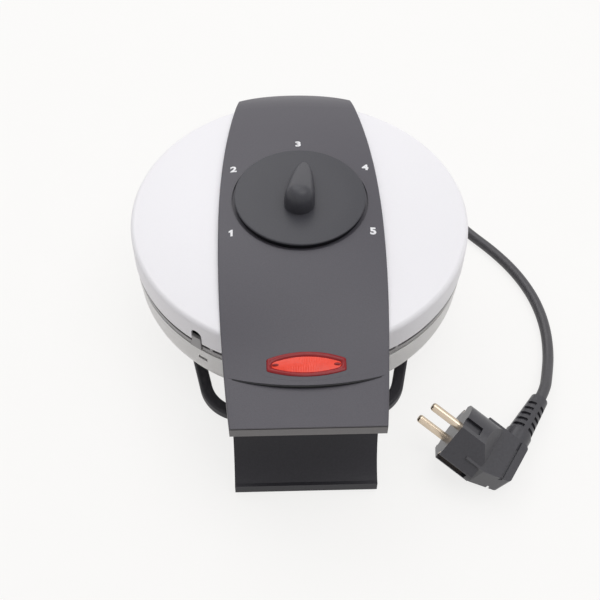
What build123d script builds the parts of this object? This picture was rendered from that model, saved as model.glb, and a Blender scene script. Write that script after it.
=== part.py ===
"""Heart waffle maker: a round countertop cooker with a hinged lid.

Millimetres, +Z up, the handle towards -Y. The origin is on the table, under
the middle of the appliance without its mains cord.
"""
from build123d import *
from math import acos, asin, atan2, ceil, cos, degrees, hypot, pi, radians, sin, sqrt, tan
import os

os.makedirs("parts", exist_ok=True)

# Driving dimensions of the plan
LID_RADIUS = 100.0
HANDLE_REACH = 145.5
REAR_REACH = 114.5
BAND_HALF_WIDTH = 47.6
BAND_WIDEST_Y = -20.0
GRIP_HALF_WIDTH = 40.5
REAR_HALF_WIDTH = 37.0
REAR_CORNER_Y = 104.0

# Driving dimensions of the height, from the table up
FOOT_PAD = 1.5
BOW_HEIGHT = 7.0
BOWL_BOTTOM_Z = 22.0
BOWL_STEP_Z = 47.5
BOWL_TOP_Z = 53.6
RING_BOTTOM_Z = 55.9
RING_TOP_Z = 58.5
PARTING_Z = 60.0
SKIRT_BOTTOM_Z = 61.4
RIM_Z = 78.6
LID_CREST_Z = 88.0
BAND_CREST_Z = 92.3
DIAL_TOP_Z = 93.9

# Walls and clearances
SHEET = 1.0
MOULDING = 2.5
FIT = 0.1
SWING_GAP = 0.4

# The lid's centre stands off the origin, so that the origin is the middle of the whole depth
LID_Y = (HANDLE_REACH - REAR_REACH) / 2
LID_AXIS = Axis((0, LID_Y, 0), (0, 0, 1))
SIDE = Plane((0, LID_Y, 0), x_dir=(0, 1, 0), z_dir=(1, 0, 0))
RADIAL = Plane((0, LID_Y, 0), x_dir=(1, 0, 0), z_dir=(0, -1, 0))


def level(z):
    """The plane at height z whose centre is under the lid's centre."""
    return Plane((0, LID_Y, z))


def across(x):
    """The upright plane at x, with its own x towards the rear and its y up."""
    return Plane((x, LID_Y, 0), x_dir=(0, 1, 0), z_dir=(1, 0, 0))


def facing_rear(y):
    """The upright plane at y behind the lid's centre, its z towards the rear."""
    return Plane((0, LID_Y + y, 0), x_dir=(-1, 0, 0), z_dir=(0, 1, 0))


def cap_height(r, rim_r, rim_z, crest_z):
    """Height at radius r of the round cap through the rim and the crest."""
    rise = crest_z - rim_z
    ball = (rim_r**2 + rise**2) / (2 * rise)
    return crest_z - ball + sqrt(ball**2 - r**2)


def save(piece, name):
    """Label one finished piece and write it under its own name."""
    piece.part.label = name
    export_step(piece.part, "parts/" + name + ".step")


# Lid shell: a pressed cap with a straight skirt
RIM_ROUND = 3.0
SPINDLE_HOLE_R = 8.5
NOTCH_ANGLE = -126.6
NOTCH_WIDTH = 7.0
NOTCH_HEIGHT = 9.5
NOTCH_DEEP = 6.0
RELIEF_HALF_ANGLE = 31.0
RELIEF_HEIGHT = 1.2


def lid_z(r):
    """Height of the lid's outside at radius r."""
    return cap_height(r, LID_RADIUS, RIM_Z, LID_CREST_Z)


def lid_outline(grow, bottom_z):
    """Half section of the lid, grown by a clearance or, if negative, shrunk by the sheet."""
    rim_r = LID_RADIUS + grow
    with BuildLine() as line:
        ThreePointArc(
            (0, LID_CREST_Z + grow),
            (rim_r / 2, lid_z(LID_RADIUS / 2) + grow),
            (rim_r, lid_z(LID_RADIUS) + grow),
        )
        rim_top_z = lid_z(LID_RADIUS) + grow
        Polyline((rim_r, rim_top_z), (rim_r, bottom_z), (0, bottom_z), (0, LID_CREST_Z + grow))
    with BuildSketch() as half:
        add(line.line)
        make_face()
        fillet(half.vertices().group_by(Axis.X)[-1].sort_by(Axis.Y)[-1], radius=RIM_ROUND + grow)
    return half.sketch


with BuildPart() as lid_shell:
    with BuildSketch(RADIAL):
        add(lid_outline(0, SKIRT_BOTTOM_Z))
    revolve(axis=LID_AXIS)
    with BuildSketch(RADIAL):
        add(lid_outline(-SHEET, SKIRT_BOTTOM_Z - 1))
    revolve(axis=LID_AXIS, mode=Mode.SUBTRACT)
    with BuildSketch(level(LID_CREST_Z + 1)):
        Circle(SPINDLE_HOLE_R)
    extrude(amount=-4, mode=Mode.SUBTRACT)
    # The skirt stands a little higher where the handle leaves it
    with BuildSketch(level(SKIRT_BOTTOM_Z)):
        with BuildLine():
            reach = LID_RADIUS + 5
            half_w = reach * sin(radians(RELIEF_HALF_ANGLE))
            Polyline((0, 0), (-half_w, -reach), (half_w, -reach), close=True)
        make_face()
    extrude(amount=RELIEF_HEIGHT, mode=Mode.SUBTRACT)
    # The notch in the skirt that takes the ring's tongue
    notch_dir = (cos(radians(NOTCH_ANGLE)), sin(radians(NOTCH_ANGLE)), 0)
    notch_r = LID_RADIUS + 2
    notch_at = (notch_dir[0] * notch_r, LID_Y + notch_dir[1] * notch_r, SKIRT_BOTTOM_Z)
    notch_plane = Plane(notch_at, x_dir=(-notch_dir[1], notch_dir[0], 0), z_dir=notch_dir)
    with BuildSketch(notch_plane):
        with Locations((0, NOTCH_HEIGHT / 2 - NOTCH_WIDTH / 4)):
            Rectangle(NOTCH_WIDTH, NOTCH_HEIGHT - NOTCH_WIDTH / 2)
        with Locations((0, NOTCH_HEIGHT - NOTCH_WIDTH / 2)):
            Circle(NOTCH_WIDTH / 2)
    extrude(amount=-NOTCH_DEEP, mode=Mode.SUBTRACT)

# Band and upper handle: one moulding over the lid, a hood over the hinge at the rear
SIDE_ARC_REAR = ((REAR_CORNER_Y - BAND_WIDEST_Y) ** 2 + (BAND_HALF_WIDTH - REAR_HALF_WIDTH) ** 2) / (
    2 * (BAND_HALF_WIDTH - REAR_HALF_WIDTH)
)
SIDE_ARC_FRONT = ((HANDLE_REACH + BAND_WIDEST_Y) ** 2 + (BAND_HALF_WIDTH - GRIP_HALF_WIDTH) ** 2) / (
    2 * (BAND_HALF_WIDTH - GRIP_HALF_WIDTH)
)
CROWN_RADIUS = 413.0
HOOD_RADIUS = 66.0
HOOD_START_Y = 92.0
HOOD_TURN = 27.0
GRIP_BLEND_RADIUS = 211.0
GRIP_BLEND_Y = -88.0
GRIP_BLEND_TURN = 9.4
GRIP_REAR_Z = 76.3
GRIP_FRONT_Z = 75.3
SEAM_Z = 74.4
SEAM_GAP = 0.8
PLUG_DEPTH = 2.0
STEP_Y = -122.0
STEP_END_Y = -115.5
STEP_HALF = 41.5
DIAL_RADIUS = 38.4
DIAL_GAP = 1.5
DIAL_FLOOR_Z = 89.2
BOSS_HOLE_R = 7.5
LENS_Y = -109.6
LENS_HALF = 21.2
LENS_END_HALF = 3.7
LENS_MID_HALF = 7.5
LENS_FLANGE = 1.2
LENS_SEAT_Z = 78.6
LAMP_ROOF_Z = 77.4
HOOD_BOTTOM_Z = 62.0
HOOD_FROM_Y = 50.0
BAND_BASE_Z = SEAM_Z - PLUG_DEPTH
EDGE_ROUND = 0.8
COVER_WALL = 2.2
COVER_FRONT_Z = 67.5
COVER_REAR_Z = 62.0
COVER_SCREW = (28.0, -130.0)
COVER_HEAD_Z = 69.4
BAND_BOSS = 1.5
COVER_SCREW_END = 1.8
BOSS_R = 3.6
SCREW_R = 1.5
SCREW_HEAD_R = 2.9
PLATE_POST_CIRCLE = 44.0
PLATE_POST_ANGLES = (30, 150, 270)
PLATE_HEAD_R = 4.0
PLATE_HEAD_HEIGHT = 1.8
BAND_SCREW_X = 27.0
LID_BRACKET_SCREW = (5.5, 105.0)
LID_BRACKET_Z = 66.0
BRACKET_SHEET = 1.5
SCREW_BITE = 6.0


def half_width(y):
    """Half the band's width at y from the lid's centre: one arc forward, one to the rear."""
    arc = SIDE_ARC_REAR if y > BAND_WIDEST_Y else SIDE_ARC_FRONT
    return BAND_HALF_WIDTH - arc + sqrt(arc**2 - (y - BAND_WIDEST_Y) ** 2)


def band_plan(inset):
    """Plan outline of the band, shrunk by an inset all round."""
    front = -HANDLE_REACH + inset
    rear_corner = REAR_CORNER_Y - inset
    rear = REAR_REACH - inset
    rear_mid = (rear_corner + BAND_WIDEST_Y) / 2
    front_mid = (front + BAND_WIDEST_Y) / 2
    with BuildLine() as line:
        ThreePointArc(
            (half_width(rear_corner) - inset, rear_corner),
            (half_width(rear_mid) - inset, rear_mid),
            (BAND_HALF_WIDTH - inset, BAND_WIDEST_Y),
        )
        ThreePointArc(
            (BAND_HALF_WIDTH - inset, BAND_WIDEST_Y),
            (half_width(front_mid) - inset, front_mid),
            (half_width(front) - inset, front),
        )
        Line((half_width(front) - inset, front), (0, front))
        mirror(line.edges(), about=Plane.YZ)
        ThreePointArc(
            (-half_width(rear_corner) + inset, rear_corner),
            (0, rear),
            (half_width(rear_corner) - inset, rear_corner),
        )
    with BuildSketch() as plan:
        add(line.line)
        make_face()
    return plan.sketch


def crown_solid(drop):
    """The space under the band's top, lowered by a drop, for cutting the band to its crown."""
    crest = (0, BAND_CREST_Z - drop)
    with BuildLine(SIDE) as path:
        rear_turn = degrees(asin(HOOD_START_Y / CROWN_RADIUS))
        front_turn = degrees(asin(-GRIP_BLEND_Y / CROWN_RADIUS))
        rear = JernArc(crest, (1, 0), CROWN_RADIUS, -rear_turn)
        JernArc(rear @ 1, rear % 1, HOOD_RADIUS, -HOOD_TURN)
        front = JernArc(crest, (-1, 0), CROWN_RADIUS, front_turn)
        blend = JernArc(front @ 1, front % 1, GRIP_BLEND_RADIUS, -GRIP_BLEND_TURN)
        Line(blend @ 1, blend @ 1 + (blend % 1) * (HANDLE_REACH + GRIP_BLEND_Y))
    wire = path.wire()
    start, tangent = wire @ 0, wire % 0
    if tangent.Y > 0:
        start, tangent = wire @ 1, (wire % 1) * -1
    reach = BAND_HALF_WIDTH + 6
    sag = reach**2 / (2 * CROWN_RADIUS)
    with BuildPart() as space:
        with BuildSketch(Plane(start, x_dir=(1, 0, 0), z_dir=tangent)):
            with BuildLine():
                ThreePointArc((-reach, -sag), (0, 0), (reach, -sag))
                Polyline((reach, -sag), (reach, -45), (-reach, -45), (-reach, -sag))
            make_face()
        sweep(path=wire)
    return space.part


def lens_plan(grow):
    """Plan of the indicator lens: two long arcs with cut ends."""
    end_x, end_y, mid_y = LENS_HALF + grow, LENS_END_HALF + grow, LENS_MID_HALF + grow
    with BuildSketch() as plan:
        with BuildLine():
            ThreePointArc((-end_x, end_y), (0, mid_y), (end_x, end_y))
            Line((end_x, end_y), (end_x, -end_y))
            ThreePointArc((end_x, -end_y), (0, -mid_y), (-end_x, -end_y))
            Line((-end_x, -end_y), (-end_x, end_y))
        make_face()
        fillet(plan.vertices(), radius=1.5)
    return plan.sketch


# Space inside the hood over the hinge
with BuildPart() as hood_space:
    with BuildSketch(level(HOOD_BOTTOM_Z - 2)):
        add(band_plan(MOULDING))
        Circle(LID_RADIUS + FIT, mode=Mode.SUBTRACT)
        with Locations((0, -HANDLE_REACH / 2)):
            Rectangle(4 * BAND_HALF_WIDTH, HANDLE_REACH + 2 * HOOD_FROM_Y, mode=Mode.SUBTRACT)
    extrude(amount=60)
    add(crown_solid(MOULDING), mode=Mode.INTERSECT)

# Two screw bosses under the hood's roof for the hinge bracket
with BuildPart() as hood_bosses:
    with BuildSketch(level(LID_BRACKET_Z + BRACKET_SHEET)):
        with Locations((-LID_BRACKET_SCREW[0], LID_BRACKET_SCREW[1]), LID_BRACKET_SCREW):
            Circle(BOSS_R)
    extrude(amount=BAND_CREST_Z - LID_BRACKET_Z)
    add(crown_solid(MOULDING / 2), mode=Mode.INTERSECT)

with BuildPart() as band:
    with BuildSketch(level(HOOD_BOTTOM_Z)):
        add(band_plan(0))
    extrude(amount=60)
    add(crown_solid(0), mode=Mode.INTERSECT)
    fillet(band.faces().sort_by(Axis.Z)[-1].edges(), radius=EDGE_ROUND)
    with BuildSketch(RADIAL):
        add(lid_outline(FIT, 40))
    revolve(axis=LID_AXIS, mode=Mode.SUBTRACT)
    # Forward of the lid the moulding ends at the grip's plug, which sits in the cover
    with BuildSketch(level(40)):
        with Locations((0, -HANDLE_REACH / 2)):
            Rectangle(4 * BAND_HALF_WIDTH, HANDLE_REACH)
    extrude(amount=BAND_BASE_Z - 40, mode=Mode.SUBTRACT)
    with BuildSketch(level(BAND_BASE_Z)):
        with Locations((0, -HANDLE_REACH / 2)):
            Rectangle(4 * BAND_HALF_WIDTH, HANDLE_REACH + 2)
        add(band_plan(COVER_WALL + FIT), mode=Mode.SUBTRACT)
    extrude(amount=PLUG_DEPTH, mode=Mode.SUBTRACT)
    # The grip's flat top, let down behind a curved step
    grip_slope = (GRIP_REAR_Z - GRIP_FRONT_Z) / (HANDLE_REACH + STEP_Y)
    step_foot = (0, LID_Y + STEP_Y, GRIP_REAR_Z)
    with BuildSketch(Plane(step_foot, x_dir=(1, 0, 0), z_dir=(0, -grip_slope, 1))):
        with BuildLine():
            ThreePointArc((-STEP_HALF, STEP_END_Y - STEP_Y), (0, 0), (STEP_HALF, STEP_END_Y - STEP_Y))
            Polyline(
                (STEP_HALF, STEP_END_Y - STEP_Y),
                (STEP_HALF + 9, STEP_END_Y - STEP_Y),
                (STEP_HALF + 9, -40),
                (-STEP_HALF - 9, -40),
                (-STEP_HALF - 9, STEP_END_Y - STEP_Y),
                (-STEP_HALF, STEP_END_Y - STEP_Y),
            )
        make_face()
    extrude(amount=20, mode=Mode.SUBTRACT)
    # The dial's round recess and the hole for its boss
    with BuildSketch(level(DIAL_FLOOR_Z)):
        Circle(DIAL_RADIUS + DIAL_GAP)
    extrude(amount=10, mode=Mode.SUBTRACT)
    with BuildSketch(level(LID_CREST_Z - 2)):
        Circle(BOSS_HOLE_R)
        with Locations((-BAND_SCREW_X, 0), (BAND_SCREW_X, 0)):
            Circle(SCREW_R)
    extrude(amount=10, mode=Mode.SUBTRACT)
    # The lens opening, its seat and the lamp's pocket under it
    with BuildSketch(level(BAND_BASE_Z)):
        with Locations((0, LENS_Y)):
            add(lens_plan(FIT))
    extrude(amount=20, mode=Mode.SUBTRACT)
    with BuildSketch(level(BAND_BASE_Z)):
        with Locations((0, LENS_Y)):
            add(lens_plan(LENS_FLANGE + FIT))
    extrude(amount=LENS_SEAT_Z - BAND_BASE_Z, mode=Mode.SUBTRACT)
    with BuildSketch(level(BAND_BASE_Z)):
        with Locations((0, LENS_Y)):
            Rectangle(2 * LENS_HALF + 6, 17)
        with Locations((0, LENS_Y + 8)):
            Rectangle(4, 6)
    extrude(amount=LAMP_ROOF_Z - BAND_BASE_Z, mode=Mode.SUBTRACT)
    add(hood_space.part, mode=Mode.SUBTRACT)
    # Room for the heads of the upper plate's screws
    for angle in PLATE_POST_ANGLES:
        with BuildSketch(level(lid_z(PLATE_POST_CIRCLE) - 2)):
            with PolarLocations(PLATE_POST_CIRCLE, 1, start_angle=angle):
                Circle(PLATE_HEAD_R + 0.6)
        extrude(amount=2 + PLATE_HEAD_HEIGHT + 0.3, mode=Mode.SUBTRACT)
    # Screw bosses: two down into the cover, two in the hood
    with BuildSketch(level(BAND_BASE_Z)):
        with Locations((-COVER_SCREW[0], COVER_SCREW[1]), COVER_SCREW):
            Circle(BOSS_R)
            Circle(SCREW_R, mode=Mode.SUBTRACT)
    extrude(amount=-BAND_BOSS)
    with BuildSketch(level(BAND_BASE_Z)):
        with Locations((-COVER_SCREW[0], COVER_SCREW[1]), COVER_SCREW):
            Circle(SCREW_R)
    extrude(amount=COVER_SCREW_END, mode=Mode.SUBTRACT)
    add(hood_bosses.part)
    with BuildSketch(level(LID_BRACKET_Z + BRACKET_SHEET)):
        with Locations((-LID_BRACKET_SCREW[0], LID_BRACKET_SCREW[1]), LID_BRACKET_SCREW):
            Circle(SCREW_R)
    extrude(amount=SCREW_BITE, mode=Mode.SUBTRACT)


# Cover under the grip: a tray with the screws that hold it to the band
cover_slope = (COVER_FRONT_Z - COVER_REAR_Z) / (HANDLE_REACH - LID_RADIUS)
cover_top_z = SEAM_Z - SEAM_GAP
with BuildPart() as tray_space:
    with BuildSketch(level(COVER_REAR_Z - 4)):
        add(band_plan(COVER_WALL))
    extrude(amount=20)
    with BuildSketch(SIDE):
        with BuildLine():
            Polyline(
                (-HANDLE_REACH, COVER_FRONT_Z + COVER_WALL),
                (-HANDLE_REACH, SEAM_Z),
                (-LID_RADIUS / 2, SEAM_Z),
                (-LID_RADIUS / 2, COVER_REAR_Z + COVER_WALL - cover_slope * LID_RADIUS / 2),
                close=True,
            )
        make_face()
    extrude(amount=2 * BAND_HALF_WIDTH, both=True, mode=Mode.INTERSECT)


def cover_side(top_z):
    """Side profile over the cover's sloping underside, from the grip's front to under the lid."""
    with BuildSketch() as side:
        with BuildLine():
            Polyline(
                (-HANDLE_REACH, COVER_FRONT_Z),
                (-HANDLE_REACH, top_z),
                (-LID_RADIUS / 2, top_z),
                (-LID_RADIUS / 2, COVER_REAR_Z - cover_slope * LID_RADIUS / 2),
                close=True,
            )
        make_face()
    return side.sketch


with BuildPart() as cover_bosses:
    with BuildSketch(level(COVER_REAR_Z)):
        with Locations((-COVER_SCREW[0], COVER_SCREW[1]), COVER_SCREW):
            Circle(BOSS_R)
    extrude(amount=BAND_BASE_Z - BAND_BOSS - COVER_REAR_Z)
    with BuildSketch(SIDE):
        add(cover_side(SEAM_Z))
    extrude(amount=2 * BAND_HALF_WIDTH, both=True, mode=Mode.INTERSECT)
with BuildPart() as handle_cover:
    with BuildSketch(level(COVER_REAR_Z - 4)):
        add(band_plan(0))
    extrude(amount=SEAM_Z - SEAM_GAP - COVER_REAR_Z + 4)
    with BuildSketch(SIDE):
        add(cover_side(cover_top_z))
    extrude(amount=2 * BAND_HALF_WIDTH, both=True, mode=Mode.INTERSECT)
    add(tray_space.part, mode=Mode.SUBTRACT)
    add(cover_bosses.part)
    with BuildSketch(level(COVER_REAR_Z - 4)):
        Circle(LID_RADIUS + 2 * FIT)
        with Locations((0, LID_RADIUS)):
            Rectangle(4 * LID_RADIUS, 2 * LID_RADIUS)
    extrude(amount=20, mode=Mode.SUBTRACT)
    with BuildSketch(level(COVER_REAR_Z - 4)):
        with Locations((-COVER_SCREW[0], COVER_SCREW[1]), COVER_SCREW):
            Circle(SCREW_R + FIT)
    extrude(amount=20, mode=Mode.SUBTRACT)
    with BuildSketch(level(COVER_REAR_Z - 4)):
        with Locations((-COVER_SCREW[0], COVER_SCREW[1]), COVER_SCREW):
            Circle(SCREW_HEAD_R + FIT)
    extrude(amount=COVER_HEAD_Z - COVER_REAR_Z + 4, mode=Mode.SUBTRACT)

COVER_SCREW_LENGTH = BAND_BASE_Z + COVER_SCREW_END - COVER_HEAD_Z


def screw(seat, length, head_height, head_r, shank_r):
    """A screw whose head sits on the seat plane, its shank along the plane's z."""
    under = Plane(seat.origin, x_dir=seat.x_dir, z_dir=seat.z_dir * -1)
    slot = Plane(seat.origin - seat.z_dir * head_height, x_dir=seat.x_dir, z_dir=seat.z_dir)
    with BuildPart() as piece:
        with BuildSketch(seat):
            Circle(shank_r)
        extrude(amount=length)
        with BuildSketch(under):
            Circle(head_r)
        extrude(amount=head_height)
        with BuildSketch(slot):
            Rectangle(1.2 * head_r, 0.8)
            Rectangle(0.8, 1.2 * head_r)
        extrude(amount=head_height / 2, mode=Mode.SUBTRACT)
    return piece.part


def seat_at(x, y, z, up):
    """Seat plane of an upright screw at x, y from the lid's centre, its shank going up or down."""
    return Plane((x, LID_Y + y, z), z_dir=(0, 0, up))


with BuildPart() as handle_cover_screws:
    for sign in (-1, 1):
        seat = seat_at(sign * COVER_SCREW[0], COVER_SCREW[1], COVER_HEAD_Z, 1)
        add(screw(seat, COVER_SCREW_LENGTH, 1.8, SCREW_HEAD_R, SCREW_R))

# Screws under the dial, through the band, the lid and the thermostat's strap
STRAP_HALF = 33.0
STRAP_WIDTH = 13.0
STRAP_TOP_Z = lid_z(STRAP_HALF + SHEET) - SHEET - FIT
STRAP_SHEET = 1.2
with BuildPart() as band_screws:
    for sign in (-1, 1):
        seat = seat_at(sign * BAND_SCREW_X, 0, DIAL_FLOOR_Z, -1)
        add(screw(seat, DIAL_FLOOR_Z - STRAP_TOP_Z + 3, 1.2, SCREW_HEAD_R, SCREW_R))

save(band, "band")
save(handle_cover, "handle_cover")
save(handle_cover_screws, "handle_cover_screws")
save(band_screws, "band_screws")

# Thermostat under the lid's centre, its strap, spindle and the dial
THERMO_R = 14.0
THERMO_HEIGHT = 12.0
BUSH_R = 4.5
SPINDLE_R = 3.0
RUNNING = 0.05
DIAL_UNDER_Z = 89.5
DIAL_HOLLOW_Z = 91.7
DIAL_SKIRT = 3.0
DIAL_BOSS_R = 6.8
DIAL_BOSS_Z = 88.6
SPINDLE_TOP_Z = 99.0
FIN_CENTRE = (-0.6, -6.8)
FIN_RADIUS = 8.9
FIN_TIP = (2.9, 20.7)
FIN_TIP_RADIUS = 5.0
FIN_APEX = (-11.0, 108.5)
FIN_NOSE = 7.0
FIN_TIP_Z = 94.9
FIN_SAG = 0.6
FIN_EDGE = 2.0
FIN_SUNK = 1.0
FIN_PAST = 2.0
FIN_EDGE_FROM = 0.3
FIN_NOSE_HALF = 3.4
CLIP_Z = 91.0
TAB_Z = 80.6
TAB_WIDTH = 6.3
TAB_SHEET = 0.8
TAB_REACH = 5.0

strap_bottom = STRAP_TOP_Z - STRAP_SHEET
with BuildPart() as thermostat_strap:
    with BuildSketch(level(strap_bottom)):
        SlotOverall(2 * STRAP_HALF, STRAP_WIDTH)
        Circle(BUSH_R + FIT, mode=Mode.SUBTRACT)
        with Locations((-BAND_SCREW_X, 0), (BAND_SCREW_X, 0)):
            Circle(SCREW_R, mode=Mode.SUBTRACT)
    extrude(amount=STRAP_SHEET)
with BuildPart() as thermostat:
    with BuildSketch(level(strap_bottom - THERMO_HEIGHT)):
        Circle(THERMO_R)
    extrude(amount=THERMO_HEIGHT)
    fillet(thermostat.faces().sort_by(Axis.Z)[0].edges(), radius=1.0)
    with BuildSketch(level(strap_bottom)):
        Circle(BUSH_R)
    extrude(amount=LID_CREST_Z - strap_bottom)
    with BuildSketch(level(LID_CREST_Z)):
        Circle(SPINDLE_R + RUNNING)
    extrude(amount=strap_bottom - LID_CREST_Z, mode=Mode.SUBTRACT)
    with BuildSketch(level(TAB_Z)):
        with Locations((0, THERMO_R + TAB_REACH / 2 - 0.5), (0, 0.5 - THERMO_R - TAB_REACH / 2)):
            Rectangle(TAB_WIDTH, TAB_REACH + 1)
    extrude(amount=TAB_SHEET / 2, both=True)
with BuildPart() as thermostat_spindle:
    with BuildSketch(level(strap_bottom + 0.3)):
        Circle(SPINDLE_R)
    extrude(amount=SPINDLE_TOP_Z - strap_bottom - 0.3)
    with BuildSketch(level(DIAL_BOSS_Z - FIT)):
        with Locations((0, -2 * SPINDLE_R + 1)):
            Rectangle(2 * SPINDLE_R, 2 * SPINDLE_R)
    extrude(amount=20, mode=Mode.SUBTRACT)
with BuildPart() as dial_clip:
    with BuildSketch(level(CLIP_Z - 1.5)):
        Circle(DIAL_BOSS_R + 1.0)
        Circle(DIAL_BOSS_R, mode=Mode.SUBTRACT)
        with Locations((0, DIAL_BOSS_R)):
            Rectangle(3, 6, mode=Mode.SUBTRACT)
    extrude(amount=1.5)

with BuildPart() as fin:
    with BuildSketch(level(DIAL_TOP_Z - FIN_SUNK)):
        with Locations(FIN_CENTRE):
            Circle(FIN_RADIUS)
        with Locations(FIN_TIP):
            Circle(FIN_TIP_RADIUS)
        make_hull()
    extrude(amount=FIN_APEX[1] - DIAL_TOP_Z + 2 * FIN_SUNK)
    fin_front = FIN_CENTRE[1] - FIN_RADIUS
    fin_end = FIN_TIP[1] + FIN_TIP_RADIUS + FIN_PAST
    with BuildSketch(SIDE) as fin_side:
        with BuildLine():
            Polyline(
                (fin_end, FIN_TIP_Z),
                (fin_end, DIAL_TOP_Z - 2 * FIN_SUNK),
                (fin_front - FIN_PAST, DIAL_TOP_Z - 2 * FIN_SUNK),
                (fin_front - FIN_PAST, DIAL_TOP_Z - FIN_SUNK),
                (fin_front, DIAL_TOP_Z),
                FIN_APEX,
            )
            ThreePointArc(
                FIN_APEX,
                ((FIN_APEX[0] + fin_end) / 2, (FIN_APEX[1] + FIN_TIP_Z) / 2 - FIN_SAG),
                (fin_end, FIN_TIP_Z),
            )
        make_face()
        fillet(fin_side.vertices().sort_by(Axis.Y)[-1], radius=FIN_NOSE)
    extrude(amount=DIAL_RADIUS, both=True, mode=Mode.INTERSECT)
    # The long edges of the top are rounded, from the nose's own rounding to the tip
    upper_edges = [e for e in fin.edges() if e.center().Z > DIAL_TOP_Z + FIN_EDGE_FROM]
    fillet([e for e in upper_edges if abs(e.center().X) > FIN_NOSE_HALF], radius=FIN_EDGE)
with BuildPart() as dial_knob:
    with BuildSketch(level(DIAL_UNDER_Z)):
        Circle(DIAL_RADIUS)
    extrude(amount=DIAL_TOP_Z - DIAL_UNDER_Z)
    fillet(dial_knob.faces().sort_by(Axis.Z)[-1].edges(), radius=0.8)
    add(fin.part)
    with BuildSketch(level(DIAL_UNDER_Z)):
        Circle(DIAL_RADIUS - DIAL_SKIRT)
    extrude(amount=DIAL_HOLLOW_Z - DIAL_UNDER_Z, mode=Mode.SUBTRACT)
    with BuildSketch(level(DIAL_BOSS_Z)):
        Circle(DIAL_BOSS_R)
    extrude(amount=DIAL_HOLLOW_Z - DIAL_BOSS_Z)
    with BuildSketch(level(DIAL_BOSS_Z)):
        Circle(SPINDLE_R)
        with Locations((0, -2 * SPINDLE_R + 1)):
            Rectangle(2 * SPINDLE_R, 2 * SPINDLE_R, mode=Mode.SUBTRACT)
    extrude(amount=SPINDLE_TOP_Z - DIAL_BOSS_Z, mode=Mode.SUBTRACT)

save(thermostat_strap, "thermostat_strap")
save(thermostat, "thermostat")
save(thermostat_spindle, "thermostat_spindle")
save(dial_clip, "dial_clip")
save(dial_knob, "dial_knob")

# Indicator lamp: lens, holder and glow lamp in the band's pocket
LENS_PROUD = 0.5
LAMP_R = 2.4
HOLDER_HEIGHT = 4.0
with BuildPart() as lamp_lens:
    with BuildSketch(level(LAMP_ROOF_Z)):
        with Locations((0, LENS_Y)):
            add(lens_plan(0))
    extrude(amount=10)
    add(crown_solid(-LENS_PROUD), mode=Mode.INTERSECT)
    with BuildSketch(level(LAMP_ROOF_Z)):
        with Locations((0, LENS_Y)):
            add(lens_plan(LENS_FLANGE))
    extrude(amount=LENS_SEAT_Z - LAMP_ROOF_Z)
with BuildPart() as lamp_holder:
    with BuildSketch(level(LAMP_ROOF_Z - HOLDER_HEIGHT)):
        with Locations((0, LENS_Y)):
            Rectangle(30, 12)
            Rectangle(16, 2 * LAMP_R, mode=Mode.SUBTRACT)
    extrude(amount=HOLDER_HEIGHT)
with BuildPart() as lamp:
    with BuildSketch(Plane((-7.5, LID_Y + LENS_Y, LAMP_ROOF_Z - HOLDER_HEIGHT / 2), z_dir=(1, 0, 0))):
        Circle(HOLDER_HEIGHT / 2 - 0.1)
    extrude(amount=15)
    fillet(lamp.edges().filter_by(GeomType.CIRCLE), radius=0.8)

save(lamp_lens, "lamp_lens")
save(lamp_holder, "lamp_holder")
save(lamp, "lamp")

# Lower shell: a pressed bowl with a step, a neck under the ring, and the vents in its bottom
BOWL_NECK_R = 97.0
BOWL_BAND_R = 99.2
BOWL_R = 98.6
BOWL_CORNER = 18.0
BOWL_WALL = 1.2
VENT_COUNT = 18
VENT_CIRCLE = 58.0
POST_R = 5.0
POST_NECK_R = 4.0
BOW_POST_R = 5.0
BOW_POSTS = ((-61.0, 38.0), (61.0, 38.0), (-68.8, -15.0), (68.8, -15.0))
GLAND_X = -44.0
GLAND_Y = 62.0
HANDLE_SCREW_X = 26.0
HANDLE_SCREW_Z = 44.0
FOOT_SCREW_X = 19.0
FOOT_SCREW_Z = 38.0
SLOT_WIDE = 6.0
SLOT_HIGH = 3.5
SLOT_SHIFT = 2.0


def bowl_outline(grow, top_z):
    """Half section of the bowl's outside, grown by a clearance."""
    with BuildSketch() as half:
        with BuildLine():
            Polyline(
                (0, BOWL_BOTTOM_Z - grow),
                (BOWL_R + grow, BOWL_BOTTOM_Z - grow),
                (BOWL_R + grow, BOWL_STEP_Z),
                (BOWL_BAND_R + grow, BOWL_STEP_Z),
                (BOWL_BAND_R + grow, BOWL_TOP_Z),
                (BOWL_NECK_R + grow, BOWL_TOP_Z),
                (BOWL_NECK_R + grow, top_z),
                (0, top_z),
                close=True,
            )
        make_face()
        fillet(half.vertices().group_by(Axis.Y)[0].sort_by(Axis.X)[-1], radius=BOWL_CORNER + grow)
    return half.sketch


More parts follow.
